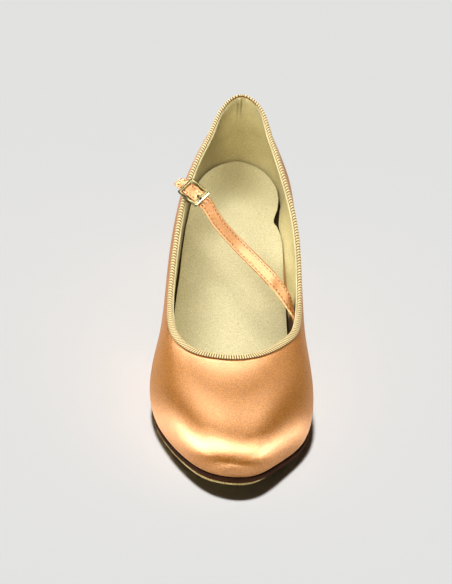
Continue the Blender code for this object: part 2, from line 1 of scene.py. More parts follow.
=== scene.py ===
"""Ballroom dance shoe for the right foot, with its finished surfaces.

Lengths are in metres unless a name or comment says otherwise. +Z is up, the toe points to
-Y and the inner side of the foot is +X. Loops round the shoe start at the toe, run along
the outer side to the back seam, and come home along the inner side.
"""

from math import cos, pi, radians, sin

import bpy
import numpy as np
from mathutils import Matrix, Vector


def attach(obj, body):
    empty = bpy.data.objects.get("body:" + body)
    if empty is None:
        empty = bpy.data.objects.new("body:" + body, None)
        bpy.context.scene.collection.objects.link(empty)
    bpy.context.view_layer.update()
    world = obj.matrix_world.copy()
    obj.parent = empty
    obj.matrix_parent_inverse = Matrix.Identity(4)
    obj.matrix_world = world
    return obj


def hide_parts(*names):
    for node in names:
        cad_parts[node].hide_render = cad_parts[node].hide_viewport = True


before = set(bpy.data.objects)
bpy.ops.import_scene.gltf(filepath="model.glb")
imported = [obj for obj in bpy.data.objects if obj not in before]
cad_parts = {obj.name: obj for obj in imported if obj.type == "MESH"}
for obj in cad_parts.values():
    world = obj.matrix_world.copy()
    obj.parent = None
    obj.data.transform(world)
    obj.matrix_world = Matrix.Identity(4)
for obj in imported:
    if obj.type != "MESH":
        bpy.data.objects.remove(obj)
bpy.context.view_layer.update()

# ---------------------------------------------------------------------------------------
# Camera: a long lens held in front of the toe, looking down on the instep. It leans a
# little to one side, and its tones are set to a firm contrast.

CAMERA_PLACE = (-0.016794, -0.678982, 0.451574)
CAMERA_TURN = radians(1.015)
CAMERA_DOWN = radians(30.928)
CAMERA_ROLL = radians(3.35)

ahead = Vector((sin(CAMERA_TURN) * cos(CAMERA_DOWN), cos(CAMERA_TURN) * cos(CAMERA_DOWN),
                -sin(CAMERA_DOWN)))
level = Vector((cos(CAMERA_TURN), -sin(CAMERA_TURN), 0.0))
above = level.cross(ahead)
frame_side = level * cos(CAMERA_ROLL) + above * sin(CAMERA_ROLL)
frame_top = above * cos(CAMERA_ROLL) - level * sin(CAMERA_ROLL)
lens = bpy.data.cameras.new("camera")
lens.lens = 92.466
lens.sensor_width = 36.0
lens.clip_start = 0.01
lens.clip_end = 20.0
camera = bpy.data.objects.new("camera", lens)
turned = Matrix((frame_side, frame_top, -ahead)).transposed().to_4x4()
camera.matrix_world = Matrix.Translation(CAMERA_PLACE) @ turned
bpy.context.scene.collection.objects.link(camera)
bpy.context.scene.camera = camera
bpy.context.scene.view_settings.view_transform = "Standard"
bpy.context.scene.view_settings.look = "Medium High Contrast"


# ---------------------------------------------------------------------------------------
# Studio: a plain pale floor and a ring of soft lights round the shoe, which leave the
# floor out. One far light of the floor's own gives it the shoe's shadow, and the room is
# pale behind the shoe but dim on it, so the satin keeps its darks.


def shade(tree, kind, inputs=None, **settings):
    """A node of a material or group, its sockets fed by values or by other sockets."""
    made = tree.nodes.new("ShaderNode" + kind)
    for name, value in settings.items():
        setattr(made, name, value)
    for name, value in (inputs or {}).items():
        if isinstance(value, bpy.types.NodeSocket):
            tree.links.new(value, made.inputs[name])
        else:
            made.inputs[name].default_value = value
    return made


def finish(name, **constants):
    """A new material: its node tree and its shader, with constants set on the sockets."""
    made = bpy.data.materials.new(name)
    made.use_nodes = True
    shader = made.node_tree.nodes["Principled BSDF"]
    for label, value in constants.items():
        label = label.replace("_", " ").title().replace("Ior", "IOR")
        shader.inputs[label].default_value = value
    return made, made.node_tree, shader


FLOOR_HALF = 10.0
floor_mesh = bpy.data.meshes.new("floor")
square = ((-1, -1), (1, -1), (1, 1), (-1, 1))
floor_mesh.from_pydata([(x * FLOOR_HALF, y * FLOOR_HALF, 0) for x, y in square], [],
                       [(0, 1, 2, 3)])
floor = bpy.data.objects.new("floor", floor_mesh)
bpy.context.scene.collection.objects.link(floor)
paper, tree, shader = finish("pale_floor", roughness=0.8, specular_ior_level=0.2)
shader.inputs["Base Color"].default_value = (0.70, 0.702, 0.695, 1.0)
floor_mesh.materials.append(paper)


def floor_list(name, state):
    """A list with the floor in it, to be lit alone or left out."""
    listed = bpy.data.collections.new(name)
    listed.objects.link(floor)
    listed.collection_objects[0].light_linking.link_state = state
    return listed


JUST_FLOOR = floor_list("floor_alone", "INCLUDE")
NOT_FLOOR = floor_list("all_but_the_floor", "EXCLUDE")
LIGHT_AWAY = 1.1
LIGHT_AIM = Vector((0.0, 0.0, 0.03))


def soft_light(name, around, up, wide, deep, power, colour):
    """A rectangular soft light facing the shoe.

    Around is its bearing from the toe towards the inner side and up is how high it stands,
    both in degrees.
    """
    data = bpy.data.lights.new(name, "AREA")
    data.shape = "RECTANGLE"
    data.size = wide
    data.size_y = deep
    data.energy = power
    data.color = colour
    light = bpy.data.objects.new(name, data)
    bearing, height = radians(around), radians(up)
    place = LIGHT_AWAY * Vector((sin(bearing) * cos(height), -cos(bearing) * cos(height),
                                 sin(height)))
    facing = (LIGHT_AIM - place).to_track_quat("-Z", "Y").to_matrix().to_4x4()
    light.matrix_world = Matrix.Translation(place) @ facing
    light.visible_camera = False
    light.light_linking.receiver_collection = NOT_FLOOR
    bpy.context.scene.collection.objects.link(light)


WARM = (1.0, 0.985, 0.95)
NEUTRAL = (1.0, 1.0, 1.0)
for light in (("key_light", -30, 57, 0.46, 0.17, 2.9, WARM),
              ("front_light", 20, 57, 0.44, 0.15, 1.5, WARM),
              ("outer_high_light", -50, 45, 0.40, 0.15, 2.4, WARM),
              ("outer_light", -62, 23, 0.36, 0.18, 3.2, WARM),
              ("outer_low_light", -78, 4, 0.40, 0.14, 3.8, WARM),
              ("inner_high_light", 46, 44, 0.40, 0.15, 2.6, WARM),
              ("inner_light", 74, 11, 0.42, 0.16, 4.4, WARM),
              ("toe_low_light", -10, 3, 0.50, 0.10, 1.3, WARM),
              ("top_outer_light", -98, 68, 0.40, 0.40, 2.5, WARM),
              ("top_inner_light", 100, 68, 0.45, 0.40, 1.7, WARM),
              ("throat_light", -174, 57, 0.34, 0.12, 2.2, WARM),
              ("back_outer_light", -145, 42, 0.50, 0.40, 3.1, NEUTRAL),
              ("back_inner_light", 142, 48, 0.34, 0.30, 0.4, NEUTRAL)):
    soft_light(*light)

# A far, even light from behind and above lights the floor and gives the shoe its shadow.
FLOOR_LIGHT_FROM = Vector((-0.090, 0.200, 0.97))
far_light = bpy.data.lights.new("floor_light", "SUN")
far_light.energy = 2.95
far_light.angle = radians(7.5)
floor_light = bpy.data.objects.new("floor_light", far_light)
floor_light.matrix_world = FLOOR_LIGHT_FROM.to_track_quat("Z", "Y").to_matrix().to_4x4()
floor_light.light_linking.receiver_collection = JUST_FLOOR
bpy.context.scene.collection.objects.link(floor_light)

room = bpy.data.worlds.new("room")
room.use_nodes = True
ROOM_GLOW, BACKDROP_GLOW = 0.012, 0.70
path = shade(room.node_tree, "LightPath")
glow = shade(room.node_tree, "MapRange", {"Value": path.outputs["Is Camera Ray"],
                                          "To Min": ROOM_GLOW, "To Max": BACKDROP_GLOW})
backdrop = room.node_tree.nodes["Background"]
backdrop.inputs["Color"].default_value = (0.97, 0.98, 1.0, 1.0)
room.node_tree.links.new(glow.outputs["Result"], backdrop.inputs["Strength"])
bpy.context.scene.world = room

# ---------------------------------------------------------------------------------------
# Satin upper: peach satin pulled over the last in one piece with a seam up the back, and
# turned in under the foot. Its threads run along the shoe, so light draws out across it.

MM = 0.001
LENGTH = 0.232
TREAD_START, TREAD_END, SEAT_START, BREAST = 0.056, 0.092, 0.188, 0.1808
FOOT_BASE = 0.0046
SEAT_LIFT = 0.0620 - FOOT_BASE
TOE_SPRING, SEAT_SLOPE = 0.0060, 0.13
THROAT_HEIGHT = 0.0430
THROAT_AT, THROAT_RISE, BACK_AT = 57.0, 38.4, 226.0      # in mm, as in the rows below
SHIFT = np.array([-0.000315, 0.00012 - LENGTH / 2, 0.0])
WALL = 0.0016
UP = np.array([0.0, 0.0, 1.0])

# Each row in millimetres: foot at (station), foot out, top at, top out, top rise, and the
# handles of the wall's curve: low out, low up, high out, high down.
OUTER_ROWS = [
    (2.5, -3.0, 57.0, 0.5, 38.4, 9.0, 15.0, 26.0, 4.0),
    (6.5, 10.0, 57.8, 10.0, 38.4, 7.0, 15.0, 24.0, 4.0),
    (19.0, 21.0, 61.5, 19.5, 38.5, 6.0, 14.5, 19.0, 4.5),
    (38.0, 31.5, 70.5, 27.3, 39.0, 6.0, 14.0, 12.8, 6.0),
    (62.0, 39.0, 83.0, 31.5, 40.0, 5.5, 13.0, 7.6, 9.0),
    (88.0, 38.0, 99.5, 33.3, 41.5, 4.5, 12.0, 4.0, 11.0),
    (114.0, 35.2, 119.0, 33.0, 43.0, 4.5, 12.0, 3.5, 12.0),
    (140.0, 33.0, 142.0, 30.8, 43.0, 5.5, 12.0, 5.0, 12.0),
    (164.0, 30.5, 165.0, 25.8, 41.8, 6.5, 12.0, 6.0, 12.0),
    (186.0, 27.5, 186.0, 18.8, 42.0, 7.0, 12.0, 7.5, 12.0),
    (206.0, 23.5, 203.5, 14.3, 44.5, 6.5, 12.0, 6.5, 13.0),
    (221.5, 14.0, 217.5, 9.2, 47.2, 6.0, 12.0, 4.5, 14.0),
    (228.5, 0.0, 226.0, 0.0, 48.0, 4.5, 12.0, 3.0, 14.0),
]
INNER_ROWS = [
    (221.5, 14.0, 217.5, 9.8, 47.2, 6.0, 12.0, 4.5, 14.0),
    (206.0, 23.0, 203.5, 14.4, 44.5, 7.0, 12.0, 6.5, 13.0),
    (186.0, 27.0, 186.0, 18.2, 42.0, 7.5, 12.0, 8.0, 12.0),
    (164.0, 29.0, 165.0, 24.2, 41.8, 7.0, 13.0, 6.5, 12.0),
    (140.0, 31.0, 142.0, 30.9, 43.0, 6.0, 14.0, 4.0, 12.0),
    (114.0, 33.2, 119.0, 33.6, 43.0, 5.8, 14.0, 3.5, 12.0),
    (88.0, 37.2, 99.5, 33.6, 41.5, 4.8, 13.0, 4.5, 11.0),
    (62.0, 40.3, 84.5, 31.5, 40.0, 5.0, 13.0, 7.5, 9.0),
    (38.0, 36.3, 74.5, 26.5, 39.0, 6.0, 14.0, 12.5, 6.0),
    (19.0, 24.5, 65.3, 18.3, 38.5, 6.0, 14.5, 19.0, 4.5),
    (6.5, 14.0, 59.2, 9.0, 38.4, 7.0, 15.0, 24.0, 4.0),
]


def closed_spline(rows, per_row):
    """A smooth closed curve of any dimension through the rows, per_row points to a span."""
    rows = np.asarray(rows, float)
    eye = np.eye(len(rows))
    ahead_rows = np.roll(rows, -1, 0)
    bend = np.linalg.solve(4 * eye + np.roll(eye, 1, 0) + np.roll(eye, -1, 0),
                           6 * (ahead_rows - 2 * rows + np.roll(rows, 1, 0)))
    u = (np.arange(per_row) / per_row)[None, :, None]
    w = 1 - u
    curve = (w * rows[:, None] + u * ahead_rows[:, None]
             + ((w ** 3 - w) * bend[:, None]
                + (u ** 3 - u) * np.roll(bend, -1, 0)[:, None]) / 6)
    return curve.reshape(-1, rows.shape[1])


def unit(vectors):
    """The same directions, one unit long."""
    return vectors / np.linalg.norm(vectors, axis=-1, keepdims=True)


def ramp(values, start, over):
    """0 up to start and 1 from over further on; over is negative for the other way round."""
    return np.clip((values - start) / over, 0, 1)


def hill(values, at, wide):
    """A soft bump, 1 at its middle and dying away over its width to both sides."""
    return np.exp(-((values - at) / wide) ** 2)


def lift(station):
    """Height of the underside above the tread: toe spring, flat tread, arch and seat."""
    s = np.asarray(station, float)
    start = SEAT_LIFT - SEAT_SLOPE * (LENGTH - SEAT_START)
    spring = TOE_SPRING * (np.clip(TREAD_START - s, 0, None) / TREAD_START) ** 2
    span = SEAT_START - TREAD_END
    u = ramp(s, TREAD_END, span)
    arch = start * (3 * u ** 2 - 2 * u ** 3) + SEAT_SLOPE * span * (u ** 3 - u ** 2)
    return spring + arch + SEAT_SLOPE * np.clip(s - SEAT_START, 0, None)


def loop_normals(loop):
    """Unit outward directions in plan along a loop that runs clockwise from above."""
    along = np.roll(loop, -1, 0) - np.roll(loop, 1, 0)
    return unit(np.stack([-along[:, 1], along[:, 0], 0 * along[:, 0]], 1))


def wall(per_section, points=161):
    """Outside of the upper as fine lines from topline to foot, with normals and reach.

    Reach is the distance down each line from the topline.
    """
    rows = []
    for side, table in ((-1, OUTER_ROWS), (1, INNER_ROWS)):
        for foot_at, foot_out, top_at, top_out, rise, *handles in table:
            share = min(1.0, max(0.0, (top_at - THROAT_AT) / (BACK_AT - THROAT_AT)))
            throat = THROAT_HEIGHT - FOOT_BASE - float(lift(THROAT_AT * MM))
            rise = rise * MM * ((1 - share) * throat / (THROAT_RISE * MM) + share)
            rows.append([side * foot_out * MM, foot_at * MM, side * top_out * MM,
                         top_at * MM, rise, *[h * MM for h in handles]])
    drafted = closed_spline(rows, per_section)
    foot_x, foot_at, top_x, top_at, rise, low_out, low_up, high_out, high_down = drafted.T
    foot = np.stack([foot_x, foot_at, FOOT_BASE + lift(foot_at)], 1)
    top = np.stack([top_x, top_at, FOOT_BASE + lift(top_at) + rise], 1)
    low = foot + loop_normals(foot) * low_out[:, None] + UP * low_up[:, None]
    high = top + loop_normals(top) * high_out[:, None] - UP * high_down[:, None]
    w = np.linspace(0, 1, points)[:, None, None]
    v = 1 - w
    grid = w ** 3 * foot + 3 * w * w * v * low + 3 * w * v * v * high + v ** 3 * top
    around = np.roll(grid, -1, 1) - np.roll(grid, 1, 1)
    normal = unit(np.cross(around, np.gradient(grid, axis=0)))
    reach = np.linalg.norm(np.diff(grid, axis=0), axis=2)
    reach = np.concatenate([np.zeros((1, grid.shape[1])), np.cumsum(reach, 0)])
    return grid + SHIFT, normal, reach


def at_depth(lines, depths):
    """Points and normals at distances below the topline; a loop of them for each depth."""
    grid, normal, reach = lines
    columns = grid.shape[1]
    depths = np.stack([np.broadcast_to(d, columns) for d in depths])
    spots = np.empty((len(depths), columns, 3))
    normals = np.empty_like(spots)
    for k in range(columns):
        for axis in range(3):
            spots[:, k, axis] = np.interp(depths[:, k], reach[:, k], grid[:, k, axis])
            normals[:, k, axis] = np.interp(depths[:, k], reach[:, k], normal[:, k, axis])
    rise = unit(grid[0] - grid[3])
    spots -= np.minimum(depths, 0.0)[:, :, None] * rise
    return spots, unit(normals)


def net(rows, columns, close_rows=False):
    """Quads over a net of points whose rows are loops; the last row may join the first."""
    r = np.arange(rows if close_rows else rows - 1)
    r, c = [a.ravel() for a in np.meshgrid(r, np.arange(columns), indexing="ij")]
    below, beside = (r + 1) % rows, (c + 1) % columns
    return np.stack([r * columns + c, r * columns + beside,
                     below * columns + beside, below * columns + c], 1)


SHARP_FROM = radians(50.0)


def piece_from(name, points, faces, material, marks=None):
    """A finished object from points and faces, turned outward, with marks on its points."""
    points = np.asarray(points, float).reshape(-1, 3)
    faces = [tuple(f) for f in (faces.tolist() if isinstance(faces, np.ndarray) else faces)]
    corners = np.array([(f[0], f[i], f[i + 1])
                        for f in faces for i in range(1, len(f) - 1)])
    a, b, c = (points[corners[:, i]] for i in range(3))
    if np.sum(a * np.cross(b, c)) < 0:
        faces = [f[::-1] for f in faces]
    mesh = bpy.data.meshes.new(name)
    mesh.from_pydata(points.tolist(), [], faces)
    for label, values in (marks or {}).items():
        values = np.asarray(values, np.float32).ravel()
        single = values.size == len(points)
        kind, field = ("FLOAT", "value") if single else ("FLOAT_VECTOR", "vector")
        mesh.attributes.new(label, kind, "POINT").data.foreach_set(field, values)
    mesh.materials.append(material)
    mesh.shade_smooth()
    mesh.set_sharp_from_angle(angle=SHARP_FROM)
    made = bpy.data.objects.new(name, mesh)
    bpy.context.scene.collection.objects.link(made)
    return made


def effect(name, inputs, outputs):
    """An empty node group with named sockets, and its way in and out."""
    group = bpy.data.node_groups.new(name, "ShaderNodeTree")
    for label, (kind, value) in inputs.items():
        socket = group.interface.new_socket(name=label, in_out="INPUT",
                                            socket_type="NodeSocket" + kind)
        socket.default_value = value
    for label, kind in outputs.items():
        group.interface.new_socket(name=label, in_out="OUTPUT",
                                   socket_type="NodeSocket" + kind)
    return group, group.nodes.new("NodeGroupInput"), group.nodes.new("NodeGroupOutput")


def use(tree, group, **inputs):
    """A node group placed in a material, with its own values."""
    placed = tree.nodes.new("ShaderNodeGroup")
    placed.node_tree = group
    for label, value in inputs.items():
        socket = placed.inputs[label.replace("_", " ")]
        if isinstance(value, bpy.types.NodeSocket):
            tree.links.new(value, socket)
        else:
            socket.default_value = value
    return placed


def grain_group():
    """Fine grain of thread or hide: a speckled colour, its height, and soft large clouds."""
    group, given, out = effect(
        "fine_grain",
        {"Light": ("Color", (1, 1, 1, 1)), "Dark": ("Color", (0, 0, 0, 1)),
         "Grain per m": ("Float", 1500.0), "Cloud per m": ("Float", 40.0),
         "Contrast": ("Float", 1.0), "Cloudiness": ("Float", 0.3)},
        {"Color": "Color", "Height": "Float"})
    place = shade(group, "TexCoord").outputs["Object"]
    swings = []
    for scale, detail, roughness, strength in (("Grain per m", 2.0, 0.6, "Contrast"),
                                               ("Cloud per m", 3.0, 0.5, "Cloudiness")):
        noise = shade(group, "TexNoise", {"Vector": place, "Scale": given.outputs[scale],
                                          "Detail": detail, "Roughness": roughness})
        swing = shade(group, "MapRange", {"Value": noise.outputs["Fac"], "From Min": 0.3,
                                          "From Max": 0.7, "To Min": -0.5, "To Max": 0.5})
        swing = shade(group, "Math", {0: swing.outputs["Result"],
                                      1: given.outputs[strength]}, operation="MULTIPLY")
        swings.append((noise, swing))
    (fine, speckle), (_, drift) = swings
    both = shade(group, "Math", {0: speckle.outputs[0], 1: drift.outputs[0]})
    share = shade(group, "Math", {0: both.outputs[0], 1: 0.5}, use_clamp=True)
    mix = shade(group, "Mix", {0: share.outputs[0], 6: given.outputs["Dark"],
                               7: given.outputs["Light"]}, data_type="RGBA")
    group.links.new(mix.outputs[2], out.inputs["Color"])
    group.links.new(fine.outputs["Fac"], out.inputs["Height"])
    return group


FINE_GRAIN = grain_group()


def painted_over(tree, colour, mask, paint):
    """A colour with another painted over it where the mask says."""
    return shade(tree, "Mix", {0: mask, 6: colour, 7: (*paint, 1)},
                 data_type="RGBA").outputs[2]


def grained(name, light, dark, grain_per_m, cloud_per_m, contrast, cloudiness, bump,
            marked=None, paint=None, **constants):
    """A finish of fine grain. Bump is its strength and depth.

    Marked names the marks on the mesh's points that paint covers.
    """
    made, tree, shader = finish(name, **constants)
    grain = use(tree, FINE_GRAIN, Light=(*light, 1), Dark=(*dark, 1),
                Grain_per_m=grain_per_m, Cloud_per_m=cloud_per_m, Contrast=contrast,
                Cloudiness=cloudiness)
    colour = grain.outputs["Color"]
    if marked:
        marks = shade(tree, "Attribute", attribute_name=marked)
        colour = painted_over(tree, colour, marks.outputs["Fac"], paint)
    tree.links.new(colour, shader.inputs["Base Color"])
    strength, depth = bump
    relief = shade(tree, "Bump", {"Height": grain.outputs["Height"], "Strength": strength,
                                  "Distance": depth})
    tree.links.new(relief.outputs["Normal"], shader.inputs["Normal"])
    return made, tree, shader


def satin(name):
    """Polyester satin: bright along one way of the weave, with a fine thread grain."""
    # Where the hole mark says, the satin is painted near black as the shade in the punched
    # holes.
    made, tree, shader = grained(
        name, light=(0.71, 0.292, 0.031), dark=(0.43, 0.150, 0.009), grain_per_m=1700.0,
        cloud_per_m=22.0, contrast=1.5, cloudiness=0.25, bump=(0.7, 0.00014),
        marked="hole", paint=(0.05, 0.012, 0.004), roughness=0.29, metallic=0.52,
        anisotropic=1.0, ior=2.3, specular_ior_level=1.0, sheen_weight=0.05,
        sheen_roughness=0.4)
    shader.inputs["Sheen Tint"].default_value = (1.0, 0.86, 0.76, 1.0)
    threads = shade(tree, "Attribute", attribute_name="weft")
    tree.links.new(threads.outputs["Vector"], shader.inputs["Tangent"])
    return made


PEACH_SATIN = satin("peach_satin")

SATIN = 0.0008
WALL_LINES = wall(per_section=20)
COLUMNS = WALL_LINES[0].shape[1]
HEIGHTS = WALL_LINES[2][-1]

# The last rows above the foot, where the satin rounds and is turned in.
EDGE = np.array([0.0009, 0.0006, 0.0004, 0.0002, 0.00008, 0.0])
TURN_IN, EDGE_ABOVE, TURNED_UNDER = 0.0009, 0.0012, 0.0004
shares = np.linspace(0.0, 1.0, 64)[:-1]
depths = [np.minimum(HEIGHTS * s, HEIGHTS - EDGE_ABOVE) for s in shares]
depths += [HEIGHTS - e for e in EDGE]
spots, normals = at_depth(WALL_LINES, depths)
rounded = TURN_IN - (TURN_IN ** 2 - (TURN_IN - EDGE) ** 2) ** 0.5
tuck = np.append(np.zeros(len(shares)), rounded)
outside = spots - normals * tuck[:, None, None]

# The seam up the back: a fine valley between two softly raised edges.
BACK_FROM = 0.09
VALLEY_DEEP, VALLEY_WIDE = 0.00028, 0.0005
RAISED_HIGH, RAISED_AT, RAISED_WIDE = 0.00010, 0.0016, 0.0009
seam_x = outside[:, :, 0]
seam = np.where(outside[:, :, 1] > BACK_FROM,
                RAISED_HIGH * hill(np.abs(seam_x), RAISED_AT, RAISED_WIDE)
                - VALLEY_DEEP * hill(seam_x, 0.0, VALLEY_WIDE), 0.0)
outside = outside + normals * seam[:, :, None]
turned = outside[-1] - loop_normals(outside[-1] - SHIFT) * TURNED_UNDER
SATIN_CLEAR = 0.00002      # how far its inside stops above the foot
inner_depths = [HEIGHTS * s for s in np.linspace(1.0, 0.0, 9)]
inner_depths[0] = HEIGHTS - SATIN_CLEAR
inner_spots, inner_normals = at_depth(WALL_LINES, inner_depths)
loops = np.concatenate([outside, turned[None], inner_spots - inner_normals * SATIN])

# Threads run along the shoe and are drawn down over its sides in lasting: their way along
# the middle, as (across, along, up), and its change from there to half the shoe's breadth.
# The weft lies square to them on the surface.
THREADS, THREADS_BESIDE, HALF_BROAD = (-0.123, 1.0, 0.384), (0.064, 0.0, 0.365), 0.040
all_normals = np.concatenate([normals, normals[-1:], inner_normals])
beside = loops[:, :, 0] / HALF_BROAD
thread_way = np.stack([lie + change * share for lie, change, share in
                       zip(THREADS, THREADS_BESIDE, (beside, beside, np.abs(beside)))], 2)
weft = unit(np.cross(all_normals, thread_way) + 1e-6)
upper_satin = piece_from("upper_satin", loops, net(len(loops), COLUMNS, close_rows=True),
                         PEACH_SATIN, {"weft": weft})
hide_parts("upper")
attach(upper_satin, "root")

# ---------------------------------------------------------------------------------------
# Lining: pale beige cloth inside the wall, closed by a seam at the back whose stitches
# pucker it under the topline.

# Where its mark says, the lining is painted dark brown as shade.
lining_cloth, *_ = grained(
    "lining_cloth", light=(0.77, 0.69, 0.40), dark=(0.55, 0.475, 0.225), grain_per_m=1400.0,
    cloud_per_m=60.0, contrast=0.7, cloudiness=0.5, bump=(0.3, 0.0002), marked="painted_shade",
    paint=(0.065, 0.032, 0.010), roughness=0.75, specular_ior_level=0.3, sheen_weight=0.1)

# Its face has so many rows, its back one of every few, just clear of foot and satin.
LINING_ROWS, BACK_EVERY, LINING_CLEAR, BEHIND_SATIN = 44, 6, 0.0001, 0.0001
depths = [HEIGHTS * s for s in np.linspace(0.0, 1.0, LINING_ROWS)]
depths[-1] = HEIGHTS - LINING_CLEAR
spots, normals = at_depth(WALL_LINES, depths)
inside = spots - normals * WALL
down = np.stack([np.broadcast_to(d, COLUMNS) for d in depths])
across, along = inside[:, :, 0], inside[:, :, 1]

# Puckers at the back seam, as height and place across, and a soft ripple lower down.
PUCKERS = ((0.0011, -0.0022), (-0.0007, 0.0), (0.0011, 0.0026))
PUCKER_WIDE, PUCKER_LONG = 0.0008, 0.011
RIPPLE_HIGH, RIPPLE_PITCH, RIPPLE_SLANT = 0.00016, 0.0026, 450.0
RIPPLE_DOWN, RIPPLE_LONG, RIPPLE_FROM = 0.022, 0.012, 0.06
pucker = sum(high * hill(across, at, PUCKER_WIDE) for high, at in PUCKERS)
pucker = np.where(along > BACK_FROM, pucker, 0.0) * hill(down, 0.0, PUCKER_LONG)
ripple = RIPPLE_HIGH * np.sin(down / RIPPLE_PITCH + RIPPLE_SLANT * across)
ripple = np.where(along > RIPPLE_FROM, ripple * hill(down, RIPPLE_DOWN, RIPPLE_LONG), 0.0)

# The lining stands off the inner wall towards its foot: station and how far, in mm.
STANDS_OFF = [(92, 0.0), (104, 0.7), (144, 0.7), (152, 1.2), (160, 1.7), (168, 2.9),
              (174.5, 3.9), (181, 2.8), (190, 1.0), (200, 0.0)]
MOSTLY_LOW = 2.2
stands_off = np.interp((along - SHIFT[1]) / MM, *np.array(STANDS_OFF).T) * MM
stands_off = np.where(across > 0, stands_off, 0.0) * (down / HEIGHTS) ** MOSTLY_LOW
inside = inside + normals * (pucker + ripple - stands_off)[:, :, None]
back_spots, back_normals = at_depth(WALL_LINES, depths[::-BACK_EVERY])
loops = np.concatenate([inside, back_spots - back_normals * (SATIN + BEHIND_SATIN)])

# Painted shade, dark brown on the cloth: a patch on the outer side, two creases by the seam,
# and, from a quarter of the way down the wall, the deep corner under the strap's root.
PATCH, PATCH_AT, PATCH_WIDE = 0.50, -0.0165, 0.0085
PATCH_FROM, PATCH_FADE = 0.045, 0.03
CREASE, CREASES_AT, CREASE_WIDE = 0.75, (-0.0023, -0.0004), 0.00042
CREASE_DOWN, CREASE_LONG = 0.005, 0.0065
CORNER, CORNER_BESIDE, CORNER_LONG = 1.2, 0.02, 0.0145
x, y = loops[:, :, 0], loops[:, :, 1]
far_down = np.concatenate([down, down[::-BACK_EVERY]])
painted_shade = PATCH * hill(x, PATCH_AT, PATCH_WIDE) * ramp(y, PATCH_FROM, PATCH_FADE)
for crease_at in CREASES_AT:
    painted_shade += (CREASE * (y > BACK_FROM) * hill(x, crease_at, CREASE_WIDE)
                * hill(far_down, CREASE_DOWN, CREASE_LONG))
painted_shade += (CORNER * (x > CORNER_BESIDE) * np.exp(-(y / CORNER_LONG) ** 6)
            * ramp(6 * far_down / HEIGHTS, 1.5, 1.0))
lining = piece_from("lining", loops, net(len(loops), COLUMNS, close_rows=True),
                    lining_cloth, {"painted_shade": painted_shade})
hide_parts("upper")
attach(lining, "root")

# ---------------------------------------------------------------------------------------
# Topline binding: a ribbed gold tape folded over the edge of the satin, and beside it the
# smooth facing of the lining. A sunk seam runs between the two.

RIM_COLUMNS = 2880
RIB_HEIGHT, RIB_SLANT = 0.00026, 0.9
CLOSE_PITCH, SIDE_PITCH, BACK_PITCH = 0.0012, 0.0015, 0.0021
RIDGE, GROOVE_SHADE = (0.76, 0.63, 0.33, 1), (0.12, 0.050, 0.015, 1)
PALE_GAIN, PALE_FROM = 1.6, 0.25

# Pale on the ribs, and painted brown shade in the grooves between them and where no ribs
# show, blurred by the fuzz of the cloth.
gold_tape, tree, shader = finish("gold_tape", roughness=0.55, specular_ior_level=0.4,
                                 sheen_weight=0.1)
FUZZ_PER_M, FUZZ_BLUR = 2600.0, 0.7
place = shade(tree, "TexCoord").outputs["Object"]
fuzz = shade(tree, "TexNoise", {"Vector": place, "Scale": FUZZ_PER_M, "Detail": 1.0})
fuzz_shift = shade(tree, "Math", {0: fuzz.outputs["Fac"], 1: 0.5}, operation="SUBTRACT")
fuzz_shift = shade(tree, "Math", {0: fuzz_shift.outputs[0], 1: FUZZ_BLUR}, operation="MULTIPLY")
rib_mark = shade(tree, "Attribute", attribute_name="rib")
rib = shade(tree, "Math", {0: rib_mark.outputs["Fac"], 1: fuzz_shift.outputs[0]}, use_clamp=True)
ribbed = shade(tree, "Mix", {0: rib.outputs[0], 6: GROOVE_SHADE, 7: RIDGE}, data_type="RGBA")
tree.links.new(ribbed.outputs[2], shader.inputs["Base Color"])
bump = shade(tree, "Bump", {"Height": fuzz.outputs["Fac"], "Strength": 0.3,
                            "Distance": 0.00015})
tree.links.new(bump.outputs["Normal"], shader.inputs["Normal"])


def tape_loops(lines, section):
    """Loops of a tape: each point of its section is (out from the satin, below the rim)."""
    spots, normals = at_depth(lines, [d for _, d in section])
    return spots + normals * np.array([n for n, _ in section])[:, None, None], normals


def run_along(points):
    """Distances of the points of a line from its first point, along the line."""
    return np.append(0.0, np.cumsum(np.linalg.norm(np.diff(points, axis=0), axis=1)))


def even_lines(lines, columns):
    """The same lines of the wall, placed at even steps along the topline."""
    rim = lines[0][0]
    step = np.linalg.norm(np.roll(rim, -1, 0) - rim, axis=1)
    run = np.append(0.0, np.cumsum(step))
    at = np.arange(columns) * run[-1] / columns
    k = np.clip(np.searchsorted(run, at, side="right") - 1, 0, len(step) - 1)
    share = (at - run[k]) / step[k]
    beyond = (k + 1) % len(step)
    mixed = []
    for values in lines:
        weight = share.reshape((1, -1) + (1,) * (values.ndim - 2))
        mixed.append(values[:, k] * (1 - weight) + values[:, beyond] * weight)
    return mixed


RIM_LINES = even_lines(wall(100, points=61), RIM_COLUMNS)
# Round the tape: out from the satin and below the rim, in mm, and how far ribs show there.
TAPE_SECTION = np.array([
    (0.25, 2.55), (0.52, 2.60), (0.66, 2.2), (0.70, 1.6), (0.70, 0.9), (0.66, 0.3),
    (0.55, -0.25), (0.30, -0.58), (-0.05, -0.76), (-0.45, -0.80), (-0.80, -0.70),
    (-1.02, -0.45), (-1.02, -0.22), (-0.5, -0.16), (0.12, -0.10), (0.22, 0.3), (0.22, 1.4),
]) * MM
